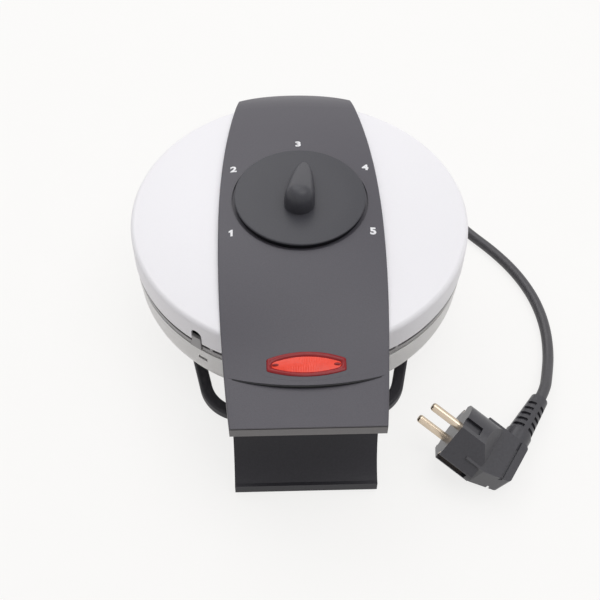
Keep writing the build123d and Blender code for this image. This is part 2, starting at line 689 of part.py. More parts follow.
with BuildPart() as lower_shell:
    with BuildSketch(RADIAL):
        add(bowl_outline(0, RING_BOTTOM_Z))
    revolve(axis=LID_AXIS)
    with BuildSketch(RADIAL) as bowl_space:
        with BuildLine():
            Polyline(
                (0, BOWL_BOTTOM_Z + BOWL_WALL),
                (BOWL_R - BOWL_WALL, BOWL_BOTTOM_Z + BOWL_WALL),
                (BOWL_R - BOWL_WALL, BOWL_TOP_Z - BOWL_WALL),
                (BOWL_NECK_R - BOWL_WALL, BOWL_TOP_Z - BOWL_WALL),
                (BOWL_NECK_R - BOWL_WALL, RING_BOTTOM_Z + 1),
                (0, RING_BOTTOM_Z + 1),
                close=True,
            )
        make_face()
        fillet(
            bowl_space.vertices().group_by(Axis.Y)[0].sort_by(Axis.X)[-1],
            radius=BOWL_CORNER - BOWL_WALL,
        )
    revolve(axis=LID_AXIS, mode=Mode.SUBTRACT)
    with BuildSketch(level(BOWL_BOTTOM_Z)):
        with PolarLocations(VENT_CIRCLE, VENT_COUNT, start_angle=0):
            SlotOverall(12, 3)
        with Locations(*BOW_POSTS):
            Circle(SCREW_R)
        with PolarLocations(PLATE_POST_CIRCLE, 3, start_angle=PLATE_POST_ANGLES[0]):
            Circle(SCREW_R + FIT)
        with Locations((GLAND_X, GLAND_Y)):
            Rectangle(12, 10)
    extrude(amount=BOWL_WALL, mode=Mode.SUBTRACT)
    with BuildSketch(facing_rear(-LID_RADIUS)):
        with Locations((-HANDLE_SCREW_X, HANDLE_SCREW_Z), (HANDLE_SCREW_X, HANDLE_SCREW_Z)):
            Circle(SCREW_R)
    extrude(amount=30, mode=Mode.SUBTRACT)
    with BuildSketch(facing_rear(LID_RADIUS)):
        with Locations((-FOOT_SCREW_X, FOOT_SCREW_Z), (FOOT_SCREW_X, FOOT_SCREW_Z)):
            Circle(SCREW_R)
    extrude(amount=-30, mode=Mode.SUBTRACT)
    # A small notch under the step, below the tongue
    slot_at = (notch_at[0], notch_at[1], BOWL_STEP_Z)
    with BuildSketch(Plane(slot_at, x_dir=notch_plane.x_dir, z_dir=notch_dir)):
        with Locations((SLOT_SHIFT, -SLOT_HIGH / 2)):
            Rectangle(SLOT_WIDE, SLOT_HIGH)
    extrude(amount=-8, mode=Mode.SUBTRACT)

# Ring between bowl and plates, with its tongue and two nibs
RING_R = 99.5
RING_BORE = 90.3
LEDGE_R = 87.0
PLATE_FLANGE_R = 90.0
PLATE_FLANGE = 3.2
PLATE_BODY_R = 84.0
TONGUE_TOP_Z = 65.5
TONGUE_WIDTH = 6.2
TONGUE_THICK = 2.0
NIB_ANGLES = (-121.3, -58.7)
flange_under_z = PARTING_Z - SWING_GAP - PLATE_FLANGE

with BuildPart() as lower_ring:
    with BuildSketch(RADIAL):
        with BuildLine():
            Polyline(
                (LEDGE_R, flange_under_z),
                (RING_BORE, flange_under_z),
                (RING_BORE, RING_TOP_Z),
                (RING_R, RING_TOP_Z),
                (RING_R, RING_BOTTOM_Z),
                (BOWL_NECK_R - BOWL_WALL - FIT, RING_BOTTOM_Z),
                (BOWL_NECK_R - BOWL_WALL - FIT, RING_BOTTOM_Z - 1),
                (LEDGE_R, RING_BOTTOM_Z - 1),
                close=True,
            )
        make_face()
    revolve(axis=LID_AXIS)
    tongue_plane = Plane(
        (notch_dir[0] * RING_R, LID_Y + notch_dir[1] * RING_R, RING_BOTTOM_Z),
        x_dir=notch_plane.x_dir,
        z_dir=notch_dir,
    )
    with BuildSketch(tongue_plane):
        with BuildLine():
            Polyline(
                (-TONGUE_WIDTH / 2 - 1.5, 0),
                (TONGUE_WIDTH / 2, 0),
                (TONGUE_WIDTH / 2, TONGUE_TOP_Z - RING_BOTTOM_Z),
                (-TONGUE_WIDTH / 2, TONGUE_TOP_Z - RING_BOTTOM_Z),
                (-TONGUE_WIDTH / 2, 4),
                close=True,
            )
        make_face()
    extrude(amount=TONGUE_THICK / 2, both=True)
    for angle in NIB_ANGLES:
        with BuildSketch(level(RING_TOP_Z)):
            with PolarLocations(RING_R - 0.5, 1, start_angle=angle):
                Rectangle(1, 2)
        extrude(amount=SKIRT_BOTTOM_Z - SWING_GAP - RING_TOP_Z)

# Waffle plates: five hearts each, their tips towards the middle
HEART_COUNT = 5
HEART_START = 90.0
HEART_LOBE_R = 18.6
HEART_LOBE_AT = 56.1
HEART_LOBE_SIDE = 15.8
HEART_TIP_AT = 7.0
HEART_TIP_R = 2.0
HEART_DRAFT = 8.0
FIELD_R = 79.0
FIELD_DEPTH = 0.8
POCKET_DEPTH = 8.0
PLATE_DEPTH = 12.0
STUD_BASE = 7.2
STUD_PITCH = 11.6
STUD_DRAFT = 10.0
STUD_TOP = 2.8
HEATER_CIRCLE = 60.0
HEATER_R = 3.3
HEATER_DEPTH = 13.8
HEATER_GAP = 60.0
GROOVE_ROOM = 0.25
BOSS_RING = (54.0, 66.0)
BOSS_RING_HEIGHT = 2.4
UPPER_FLANGE_R = LID_RADIUS - SHEET - 0.8
FACE_GAP = SWING_GAP
STUD_ROOM = 2.2
STUD_REACH = 8


def heart_holds(u, v, margin):
    """Whether a point of the heart, u along its axis and v across, is a margin inside its edge."""
    lobe = hypot(u - HEART_LOBE_AT, abs(v) - HEART_LOBE_SIDE) <= HEART_LOBE_R - margin
    run_u = HEART_LOBE_AT - HEART_TIP_AT
    run = hypot(run_u, HEART_LOBE_SIDE)
    lean = atan2(HEART_LOBE_SIDE, run_u) + asin((HEART_LOBE_R - HEART_TIP_R) / run)
    side = (u - HEART_TIP_AT) * sin(lean) - abs(v) * cos(lean) + HEART_TIP_R
    tangent_u = HEART_LOBE_AT - HEART_LOBE_R * sin(lean)
    between = HEART_TIP_AT <= u <= HEART_LOBE_AT and (u <= tangent_u or abs(v) < HEART_LOBE_SIDE)
    return lobe or (side >= margin and between)


def heart_wedge(side, inset):
    """Half a heart along +X from the plate's middle: a rounded wedge from the tip to one lobe."""
    with BuildSketch() as wedge:
        with Locations((HEART_LOBE_AT, side * HEART_LOBE_SIDE)):
            Circle(HEART_LOBE_R - inset)
        with Locations((HEART_TIP_AT, 0)):
            Circle(HEART_TIP_R - inset)
        make_hull()
    return wedge.sketch


def heart_angles(outward):
    """Directions of the five hearts in a plan that is seen from the plate's back."""
    return [outward * (HEART_START + 360 * n / HEART_COUNT) for n in range(HEART_COUNT)]


def waffle_plate(outward, flange_r):
    """One plate, built in depth from its face; outward is -1 for the lower plate, 1 for the upper."""
    def depth(d):
        return Plane((0, LID_Y, PARTING_Z + outward * d), x_dir=(1, 0, 0), z_dir=(0, 0, outward))

    with BuildPart() as plate:
        with BuildSketch(depth(FACE_GAP)):
            Circle(flange_r)
        extrude(amount=PLATE_FLANGE)
        with BuildSketch(depth(FACE_GAP)):
            Circle(PLATE_BODY_R)
        extrude(amount=PLATE_DEPTH - FACE_GAP)
        with BuildSketch(depth(PLATE_DEPTH)):
            Circle(BOSS_RING[1])
            Circle(BOSS_RING[0], mode=Mode.SUBTRACT)
        extrude(amount=BOSS_RING_HEIGHT)
        with BuildSketch(depth(FACE_GAP)):
            Circle(FIELD_R)
        extrude(amount=FIELD_DEPTH, mode=Mode.SUBTRACT)
        field = FACE_GAP + FIELD_DEPTH
        for angle in heart_angles(outward):
            for side in (-1, 1):
                for d in (field, POCKET_DEPTH):
                    with BuildSketch(depth(d)):
                        with Locations(Location((0, 0, 0), (0, 0, angle))):
                            add(heart_wedge(side, (d - field) * tan(radians(HEART_DRAFT))))
                loft(ruled=True, mode=Mode.SUBTRACT)
        # The heater's groove round the back
        with BuildSketch(RADIAL):
            with Locations((HEATER_CIRCLE, PARTING_Z + outward * HEATER_DEPTH)):
                Circle(HEATER_R + GROOVE_ROOM)
        revolve(axis=LID_AXIS, mode=Mode.SUBTRACT)
    return plate.part


def waffle_studs(outward):
    """The tapered studs on one plate's heart floors, in rows square to each other and at 45 degrees."""
    edge = STUD_BASE / 2 + STUD_ROOM
    step = STUD_PITCH / sqrt(2)
    reach = range(-STUD_REACH, STUD_REACH + 1)
    grid = [(HEART_LOBE_AT + (i + j) * step, (i - j) * step) for i in reach for j in reach]
    kept = [(u, v) for u, v in grid if heart_holds(u, v, edge)]
    with BuildPart() as studs:
        floor_z = PARTING_Z + outward * POCKET_DEPTH
        with BuildSketch(Plane((0, LID_Y, floor_z), x_dir=(1, 0, 0), z_dir=(0, 0, -outward))):
            for angle in heart_angles(outward):
                # The sketch faces the parting plane, so its y runs the other way
                with Locations(Location((0, 0, 0), (0, 0, -angle))):
                    with Locations(*[Location((u, -v, 0), (0, 0, 45)) for u, v in kept]):
                        Rectangle(STUD_BASE, STUD_BASE)
        extrude(amount=POCKET_DEPTH - STUD_TOP, taper=STUD_DRAFT)
    return studs.part


def plate_with_posts(outward, flange_r, shoulder_z, end_z):
    """One plate with its three stepped posts towards the shell."""
    back_z = PARTING_Z + outward * PLATE_DEPTH
    with BuildPart() as plate:
        add(waffle_plate(outward, flange_r))
        for z, radius in ((shoulder_z, POST_R), (end_z, POST_NECK_R)):
            with BuildSketch(level(back_z)):
                with PolarLocations(PLATE_POST_CIRCLE, 3, start_angle=PLATE_POST_ANGLES[0]):
                    Circle(radius)
            extrude(amount=z - back_z)
        with BuildSketch(level(end_z)):
            with PolarLocations(PLATE_POST_CIRCLE, 3, start_angle=PLATE_POST_ANGLES[0]):
                Circle(SCREW_R)
        extrude(amount=-outward * 9, mode=Mode.SUBTRACT)
    return plate.part


LOWER_REFLECTOR_Z = 36.0
UPPER_REFLECTOR_Z = 77.6
REFLECTOR_SHEET = 0.8
UPPER_REFLECTOR_R = 78.0
lower_post_end = BOWL_BOTTOM_Z + BOWL_WALL
upper_post_end = lid_z(PLATE_POST_CIRCLE + POST_NECK_R) - SHEET - FIT

with BuildPart() as lower_plate:
    add(plate_with_posts(-1, PLATE_FLANGE_R, LOWER_REFLECTOR_Z + REFLECTOR_SHEET, lower_post_end))
with BuildPart() as upper_plate:
    add(plate_with_posts(1, UPPER_FLANGE_R, UPPER_REFLECTOR_Z, upper_post_end))
with BuildPart() as lower_plate_studs:
    add(waffle_studs(-1))
with BuildPart() as upper_plate_studs:
    add(waffle_studs(1))

save(lower_shell, "lower_shell")
save(lower_ring, "lower_ring")
save(lower_plate, "lower_plate")
save(lower_plate_studs, "lower_plate_studs")
save(upper_plate, "upper_plate")
save(upper_plate_studs, "upper_plate_studs")

# Heaters: a rod bent to an open ring in the plate's groove, its ends turned towards the shell
LOWER_BEND = 9.0
UPPER_BEND = 5.0
HEATER_END = 2.5
WIRE_R = 1.2


def heater_rod(outward, bend, tail_run):
    """The heating rod of one plate, with the gap at the rear, and the tips of its two ends."""
    z = PARTING_Z + outward * HEATER_DEPTH
    half_gap = radians(HEATER_GAP / 2)
    with BuildLine() as path:
        ends = []
        for side in (1, -1):
            at = Vector(side * HEATER_CIRCLE * sin(half_gap), LID_Y + HEATER_CIRCLE * cos(half_gap), z)
            along = Vector(-side * cos(half_gap), sin(half_gap), 0)
            turned = at + along * bend + Vector(0, 0, outward * bend)
            middle = at + along * bend * sin(pi / 4) + Vector(0, 0, outward * bend * (1 - cos(pi / 4)))
            ThreePointArc(at, middle, turned)
            Line(turned, turned + Vector(0, 0, outward * tail_run))
            ends.append(turned + Vector(0, 0, outward * tail_run))
        right = Vector(HEATER_CIRCLE * sin(half_gap), LID_Y + HEATER_CIRCLE * cos(half_gap), z)
        left = Vector(-right.X, right.Y, z)
        ThreePointArc(left, (-HEATER_CIRCLE, LID_Y, z), (0, LID_Y - HEATER_CIRCLE, z))
        ThreePointArc((0, LID_Y - HEATER_CIRCLE, z), (HEATER_CIRCLE, LID_Y, z), right)
    with BuildPart() as rod:
        with BuildSketch(Plane(ends[0], z_dir=(0, 0, -outward))):
            Circle(HEATER_R)
        sweep(path=path.wire())
        for end in ends:
            with BuildSketch(Plane(end, z_dir=(0, 0, outward))):
                Circle(WIRE_R)
            extrude(amount=HEATER_END)
    return rod.part, ends


lower_rod, lower_rod_ends = heater_rod(-1, LOWER_BEND, 3.0)
upper_rod, upper_rod_ends = heater_rod(1, UPPER_BEND, 0.5)
with BuildPart() as lower_heater:
    add(lower_rod)
with BuildPart() as upper_heater:
    add(upper_rod)

# Reflectors between the plates and the shells
ROD_HOLE_R = HEATER_R + 1.2
with BuildPart() as lower_reflector:
    with BuildSketch(level(LOWER_REFLECTOR_Z)):
        Circle(PLATE_BODY_R + 2)
        with PolarLocations(PLATE_POST_CIRCLE, 3, start_angle=PLATE_POST_ANGLES[0]):
            Circle(POST_NECK_R + FIT, mode=Mode.SUBTRACT)
    extrude(amount=REFLECTOR_SHEET)
    with BuildSketch(level(LOWER_REFLECTOR_Z)):
        Circle(PLATE_BODY_R + 2)
        Circle(PLATE_BODY_R + 2 - REFLECTOR_SHEET, mode=Mode.SUBTRACT)
    extrude(amount=8)
    with BuildSketch(Plane((0, 0, LOWER_REFLECTOR_Z))):
        for end in lower_rod_ends:
            with Locations((end.X, end.Y)):
                Circle(ROD_HOLE_R)
    extrude(amount=REFLECTOR_SHEET, mode=Mode.SUBTRACT)
with BuildPart() as upper_reflector:
    with BuildSketch(level(UPPER_REFLECTOR_Z)):
        Circle(UPPER_REFLECTOR_R)
        Circle(THERMO_R + 5, mode=Mode.SUBTRACT)
        with PolarLocations(PLATE_POST_CIRCLE, 3, start_angle=PLATE_POST_ANGLES[0]):
            Circle(POST_NECK_R + FIT, mode=Mode.SUBTRACT)
    extrude(amount=REFLECTOR_SHEET)
    with BuildSketch(level(UPPER_REFLECTOR_Z)):
        Circle(UPPER_REFLECTOR_R)
        Circle(UPPER_REFLECTOR_R - REFLECTOR_SHEET, mode=Mode.SUBTRACT)
    extrude(amount=-3)
    with BuildSketch(Plane((0, 0, UPPER_REFLECTOR_Z))):
        for end in upper_rod_ends:
            with Locations((end.X, end.Y)):
                Circle(ROD_HOLE_R)
    extrude(amount=REFLECTOR_SHEET, mode=Mode.SUBTRACT)

# Screws of the two plates
with BuildPart() as lower_plate_screws:
    for angle in PLATE_POST_ANGLES:
        x, y = PLATE_POST_CIRCLE * cos(radians(angle)), PLATE_POST_CIRCLE * sin(radians(angle))
        add(screw(seat_at(x, y, BOWL_BOTTOM_Z, 1), BOWL_WALL + 7, 1.8, PLATE_HEAD_R, SCREW_R))
with BuildPart() as upper_plate_screws:
    for angle in PLATE_POST_ANGLES:
        x, y = PLATE_POST_CIRCLE * cos(radians(angle)), PLATE_POST_CIRCLE * sin(radians(angle))
        seat = seat_at(x, y, lid_z(PLATE_POST_CIRCLE - PLATE_HEAD_R), -1)
        add(screw(seat, 9, 1.4, PLATE_HEAD_R, SCREW_R))
# The lid's holes for those screws and for the two under the dial
with BuildPart() as lid_with_holes:
    add(lid_shell.part)
    with BuildSketch(level(LID_CREST_Z - 8)):
        with PolarLocations(PLATE_POST_CIRCLE, 3, start_angle=PLATE_POST_ANGLES[0]):
            Circle(SCREW_R)
        with Locations((-BAND_SCREW_X, 0), (BAND_SCREW_X, 0)):
            Circle(SCREW_R)
    extrude(amount=10, mode=Mode.SUBTRACT)
    with BuildSketch(Plane((0, LID_Y - LID_RADIUS - 2, LAMP_ROOF_Z - 3), z_dir=(0, 1, 0))):
        Circle(1.4)
    extrude(amount=6, mode=Mode.SUBTRACT)
save(lid_with_holes, "lid_shell")

save(lower_heater, "lower_heater")
save(upper_heater, "upper_heater")
save(lower_reflector, "lower_reflector")
save(upper_reflector, "upper_reflector")
save(lower_plate_screws, "lower_plate_screws")
save(upper_plate_screws, "upper_plate_screws")

# Lower handle: a hollow block under the grip with a scooped front and a lip
LOWER_LIP_Y = -142.5
LOWER_BACK_HALF = 41.0
LOWER_LIP_HALF = 40.0
LOWER_TOP_Z = 57.0
LOWER_BACK_Y = -98.5
LIP_TOP_Z = 8.0
SCOOP = ((-140.5, LIP_TOP_Z), (-128.0, 18.0), (-121.0, 35.0), (-116.0, LOWER_TOP_Z))
HANDLE_BOSS_Y = -111.0


def lower_handle_side(inset):
    """Side profile of the lower handle, shrunk by the wall."""
    with BuildSketch() as side:
        with BuildLine():
            shifted = [(y + inset, z - inset * 0.45) for y, z in SCOOP]
            Spline(*shifted)
            Polyline(
                shifted[-1],
                (-70, LOWER_TOP_Z - inset * 0.45),
                (-70, 24 + inset),
                (-84, 24 + inset),
                (LOWER_BACK_Y - inset, 15),
                (LOWER_BACK_Y - inset, FOOT_PAD + inset),
                (LOWER_LIP_Y + inset, FOOT_PAD + inset),
                (LOWER_LIP_Y + inset, LIP_TOP_Z - inset),
                shifted[0],
            )
        make_face()
    return side.sketch


def lower_handle_plan(inset):
    """Plan outline of the lower handle."""
    with BuildSketch() as plan:
        with BuildLine():
            Polyline(
                (-LOWER_BACK_HALF + inset, -70),
                (-LOWER_LIP_HALF + inset, LOWER_LIP_Y),
                (LOWER_LIP_HALF - inset, LOWER_LIP_Y),
                (LOWER_BACK_HALF - inset, -70),
                close=True,
            )
        make_face()
    return plan.sketch


def lower_handle_block(inset):
    """The lower handle's body, whole or as the space inside its walls."""
    with BuildPart() as block:
        with BuildSketch(SIDE):
            add(lower_handle_side(inset))
        extrude(amount=LOWER_BACK_HALF + 5, both=True)
    with BuildPart() as shaped:
        with BuildSketch(level(0)):
            add(lower_handle_plan(inset))
        extrude(amount=LOWER_TOP_Z + 5)
        add(block.part, mode=Mode.INTERSECT)
    return shaped.part


with BuildPart() as bowl_room:
    with BuildSketch(RADIAL):
        add(bowl_outline(FIT, PARTING_Z))
    revolve(axis=LID_AXIS)
    with BuildSketch(level(RING_BOTTOM_Z - 1)):
        Circle(RING_R + 2 * FIT)
    extrude(amount=10)
    with BuildSketch(level(BOWL_BOTTOM_Z - FIT)):
        Circle(BOWL_R - BOWL_CORNER)
    extrude(amount=10)

with BuildPart() as lower_handle:
    add(lower_handle_block(0))
    add(lower_handle_block(MOULDING), mode=Mode.SUBTRACT)
    with BuildSketch(facing_rear(HANDLE_BOSS_Y)):
        with Locations((-HANDLE_SCREW_X, HANDLE_SCREW_Z), (HANDLE_SCREW_X, HANDLE_SCREW_Z)):
            Circle(BOSS_R)
    extrude(amount=30)
    with BuildSketch(facing_rear(HANDLE_BOSS_Y + 2)):
        with Locations((-HANDLE_SCREW_X, HANDLE_SCREW_Z), (HANDLE_SCREW_X, HANDLE_SCREW_Z)):
            Circle(SCREW_R)
    extrude(amount=40, mode=Mode.SUBTRACT)
    # Two ribs tie the bosses to the roof
    with BuildSketch(facing_rear(HANDLE_BOSS_Y)):
        for sign in (-1, 1):
            with Locations((sign * HANDLE_SCREW_X, (HANDLE_SCREW_Z + BOSS_R + LOWER_TOP_Z) / 2 - 0.5)):
                Rectangle(2, LOWER_TOP_Z - HANDLE_SCREW_Z - BOSS_R + 1)
    extrude(amount=30)
    add(bowl_room.part, mode=Mode.SUBTRACT)

HANDLE_SEAT_Y = -sqrt((BOWL_R - BOWL_WALL) ** 2 - (HANDLE_SCREW_X + SCREW_HEAD_R) ** 2)
with BuildPart() as lower_handle_screws:
    for sign in (-1, 1):
        place = (sign * HANDLE_SCREW_X, LID_Y + HANDLE_SEAT_Y, HANDLE_SCREW_Z)
        seat = Plane(place, x_dir=(1, 0, 0), z_dir=(0, -1, 0))
        add(screw(seat, HANDLE_SEAT_Y - HANDLE_BOSS_Y - 3, 1.8, SCREW_HEAD_R, SCREW_R))

# Cord bow: a flat bar round the bottom on four posts, for winding the cord
BOW_WIDTH = 7.2
BOW_CORNERS = ((61.0, 38.0), (70.0, -22.0), (53.5, -93.2))
BOW_CORNER_BEND = 24.0
bow_top_z = FOOT_PAD + BOW_HEIGHT
with BuildLine() as bow_path:
    right = FilletPolyline(*BOW_CORNERS, (0, BOW_CORNERS[2][1]), radius=BOW_CORNER_BEND)
    mirror(right, about=Plane.YZ)
with BuildPart() as cord_bow:
    with BuildSketch(level(FOOT_PAD)):
        trace(bow_path.edges(), line_width=BOW_WIDTH)
    extrude(amount=BOW_HEIGHT)
    bow_faces = cord_bow.faces().sort_by(Axis.Z)
    fillet(bow_faces[-1].edges() + bow_faces[0].edges(), radius=1.6)
    with BuildSketch(level(FOOT_PAD)):
        with Locations(BOW_CORNERS[0], (-BOW_CORNERS[0][0], BOW_CORNERS[0][1])):
            Circle(BOW_POST_R)
    extrude(amount=BOW_HEIGHT)
    with BuildSketch(level(bow_top_z - 3)):
        with Locations(*BOW_POSTS):
            Circle(BOW_POST_R)
    extrude(amount=BOWL_BOTTOM_Z - FIT - bow_top_z + 3)
    with BuildSketch(level(BOWL_BOTTOM_Z)):
        with Locations(*BOW_POSTS):
            Circle(SCREW_R)
    extrude(amount=-9, mode=Mode.SUBTRACT)
with BuildPart() as bow_screws:
    for x, y in BOW_POSTS:
        seat = seat_at(x, y, BOWL_BOTTOM_Z + BOWL_WALL, -1)
        add(screw(seat, BOWL_WALL + 7, 1.8, SCREW_HEAD_R, SCREW_R))

# Rear foot: a housing under the hinge on two legs, the cord's coil lying between them
FOOT_HALF = 34.0
FOOT_TOP_Z = 46.0
FOOT_BOTTOM_Z = 19.0
FOOT_REAR_Y = 112.0
LEG_X = 31.0
LEG_WIDTH = 10.0
LEG_REAR_Y = 103.0
LEG_FRONT_Y = 86.0
with BuildPart() as rear_foot:
    with BuildSketch(level(FOOT_BOTTOM_Z)) as foot_plan:
        with Locations((0, (FOOT_REAR_Y + 80) / 2)):
            Rectangle(2 * FOOT_HALF, FOOT_REAR_Y - 80)
        fillet(foot_plan.vertices().group_by(Axis.Y)[-1], radius=6)
    extrude(amount=FOOT_TOP_Z - FOOT_BOTTOM_Z)
    with BuildSketch(level(FOOT_BOTTOM_Z)):
        with Locations((0, (FOOT_REAR_Y + 80) / 2)):
            Rectangle(2 * (FOOT_HALF - MOULDING), FOOT_REAR_Y - 80 - 2 * MOULDING)
    extrude(amount=FOOT_TOP_Z - FOOT_BOTTOM_Z - MOULDING, mode=Mode.SUBTRACT)
    with BuildSketch(level(FOOT_PAD)):
        for sign in (-1, 1):
            with Locations((sign * LEG_X, (LEG_REAR_Y + LEG_FRONT_Y) / 2)):
                RectangleRounded(LEG_WIDTH, LEG_REAR_Y - LEG_FRONT_Y, 1.5)
    extrude(amount=FOOT_TOP_Z - MOULDING - FOOT_PAD)
    with BuildSketch(facing_rear(FOOT_REAR_Y - MOULDING / 2)):
        with Locations((-FOOT_SCREW_X, FOOT_SCREW_Z), (FOOT_SCREW_X, FOOT_SCREW_Z)):
            Circle(BOSS_R)
    extrude(amount=-30)
    with BuildSketch(facing_rear(FOOT_REAR_Y - 2 * MOULDING)):
        with Locations((-FOOT_SCREW_X, FOOT_SCREW_Z), (FOOT_SCREW_X, FOOT_SCREW_Z)):
            Circle(SCREW_R)
    extrude(amount=-30, mode=Mode.SUBTRACT)
    add(bowl_room.part, mode=Mode.SUBTRACT)

save(lower_handle, "lower_handle")
save(lower_handle_screws, "lower_handle_screws")
save(cord_bow, "cord_bow")
save(bow_screws, "bow_screws")

FOOT_SEAT_Y = sqrt((BOWL_R - BOWL_WALL - 0.3) ** 2 - (FOOT_SCREW_X + SCREW_HEAD_R) ** 2)
with BuildPart() as rear_foot_screws:
    for sign in (-1, 1):
        place = (sign * FOOT_SCREW_X, LID_Y + FOOT_SEAT_Y, FOOT_SCREW_Z)
        seat = Plane(place, x_dir=(1, 0, 0), z_dir=(0, 1, 0))
        add(screw(seat, 11, 1.8, SCREW_HEAD_R, SCREW_R))

# Rubber feet under the two legs and the lower handle
FRONT_FOOT = (32.0, -120.0)
with BuildPart() as rubber_feet:
    with BuildSketch(level(0)):
        for sign in (-1, 1):
            with Locations((sign * LEG_X, (LEG_REAR_Y + LEG_FRONT_Y) / 2)):
                RectangleRounded(LEG_WIDTH, LEG_REAR_Y - LEG_FRONT_Y, 1.5)
            with Locations((sign * FRONT_FOOT[0], FRONT_FOOT[1])):
                Circle(5)
    extrude(amount=FOOT_PAD)

# Hinge: a pin through two lugs of the base bracket and two arms of the lid bracket
HINGE_Y = 106.0
HINGE_Z = 60.0
PIN_R = 2.0
EYE_R = 3.8
LUG_X = 12.5
ARM_X = 10.5
LUG_NECK = (100.8, 105.4)
ARM_NECK = (102.5, 109.5)
PIN_HALF = 16.5
CLIP_X = 14.5
CLIP_RIM = 1.5
BASE_BRACKET_REAR = 109.8
BRACKET_SCREW = (6.5, 105.3)
FOOT_BITE = 7.5


def eye_plate(x, neck, root_z, bore_r):
    """One upright hinge plate at x: an eye on the pin's axis and a neck down or up to its root."""
    with BuildPart() as plate:
        with BuildSketch(across(x - BRACKET_SHEET / 2)):
            with Locations((HINGE_Y, HINGE_Z)):
                Circle(EYE_R)
            with BuildLine():
                Polyline(
                    (neck[0], root_z),
                    (neck[1], root_z),
                    (neck[1], HINGE_Z),
                    (HINGE_Y - EYE_R if neck[0] < HINGE_Y - EYE_R else neck[0], HINGE_Z),
                    close=True,
                )
            make_face()
        extrude(amount=BRACKET_SHEET)
        with BuildSketch(across(x - 3)):
            with Locations((HINGE_Y, HINGE_Z)):
                Circle(bore_r)
        extrude(amount=6, mode=Mode.SUBTRACT)
    return plate.part


with BuildPart() as hinge_base_bracket:
    with BuildSketch(level(FOOT_TOP_Z)):
        with Locations((0, (LUG_NECK[0] + BASE_BRACKET_REAR) / 2)):
            Rectangle(2 * LUG_X + BRACKET_SHEET, BASE_BRACKET_REAR - LUG_NECK[0])
        with Locations((-BRACKET_SCREW[0], BRACKET_SCREW[1]), BRACKET_SCREW):
            Circle(SCREW_R, mode=Mode.SUBTRACT)
    extrude(amount=BRACKET_SHEET)
    for sign in (-1, 1):
        add(eye_plate(sign * LUG_X, LUG_NECK, FOOT_TOP_Z, PIN_R))
with BuildPart() as hinge_lid_bracket:
    with BuildSketch(level(LID_BRACKET_Z)):
        with Locations((0, (ARM_NECK[0] + ARM_NECK[1]) / 2)):
            Rectangle(2 * ARM_X + BRACKET_SHEET, ARM_NECK[1] - ARM_NECK[0])
        with Locations((-LID_BRACKET_SCREW[0], LID_BRACKET_SCREW[1]), LID_BRACKET_SCREW):
            Circle(SCREW_R, mode=Mode.SUBTRACT)
    extrude(amount=BRACKET_SHEET)
    for sign in (-1, 1):
        add(eye_plate(sign * ARM_X, ARM_NECK, LID_BRACKET_Z + BRACKET_SHEET, PIN_R + RUNNING))
with BuildPart() as hinge_pin:
    with BuildSketch(across(-PIN_HALF)):
        with Locations((HINGE_Y, HINGE_Z)):
            Circle(PIN_R)
    extrude(amount=2 * PIN_HALF)
    for sign in (-1, 1):
        with BuildSketch(across(sign * CLIP_X - 0.4)):
            with Locations((HINGE_Y, HINGE_Z)):
                Circle(PIN_R + 1)
                Circle(PIN_R - 0.6, mode=Mode.SUBTRACT)
        extrude(amount=0.8, mode=Mode.SUBTRACT)
with BuildPart() as hinge_clips:
    for sign in (-1, 1):
        with BuildSketch(across(sign * CLIP_X - 0.35)):
            with Locations((HINGE_Y, HINGE_Z)):
                Circle(PIN_R + CLIP_RIM)
                Circle(PIN_R - 0.6, mode=Mode.SUBTRACT)
            with Locations((HINGE_Y, HINGE_Z + 3)):
                Rectangle(2.6, 6, mode=Mode.SUBTRACT)
        extrude(amount=0.7)
with BuildPart() as base_bracket_screws:
    for sign in (-1, 1):
        seat = seat_at(sign * BRACKET_SCREW[0], BRACKET_SCREW[1], FOOT_TOP_Z + BRACKET_SHEET, -1)
        add(screw(seat, BRACKET_SHEET + FOOT_BITE, 1.6, SCREW_HEAD_R, SCREW_R))
with BuildPart() as lid_bracket_screws:
    for sign in (-1, 1):
        seat = seat_at(sign * LID_BRACKET_SCREW[0], LID_BRACKET_SCREW[1], LID_BRACKET_Z, 1)
        add(screw(seat, BRACKET_SHEET + SCREW_BITE, 1.6, SCREW_HEAD_R, SCREW_R))
# The rear foot takes the bracket's screws in two bosses under its roof
with BuildPart() as foot_with_bosses:
    add(rear_foot.part)
    with BuildSketch(level(FOOT_TOP_Z - 1)):
        with Locations((-BRACKET_SCREW[0], BRACKET_SCREW[1]), BRACKET_SCREW):
            Circle(BOSS_R)
    extrude(amount=-FOOT_BITE - 1)
    with BuildSketch(level(FOOT_TOP_Z)):
        with Locations((-BRACKET_SCREW[0], BRACKET_SCREW[1]), BRACKET_SCREW):
            Circle(SCREW_R)
    extrude(amount=-FOOT_BITE, mode=Mode.SUBTRACT)

save(foot_with_bosses, "rear_foot")
save(rear_foot_screws, "rear_foot_screws")
save(rubber_feet, "rubber_feet")
save(hinge_base_bracket, "hinge_base_bracket")
save(hinge_lid_bracket, "hinge_lid_bracket")
save(hinge_pin, "hinge_pin")
save(hinge_clips, "hinge_clips")
save(base_bracket_screws, "base_bracket_screws")
save(lid_bracket_screws, "lid_bracket_screws")

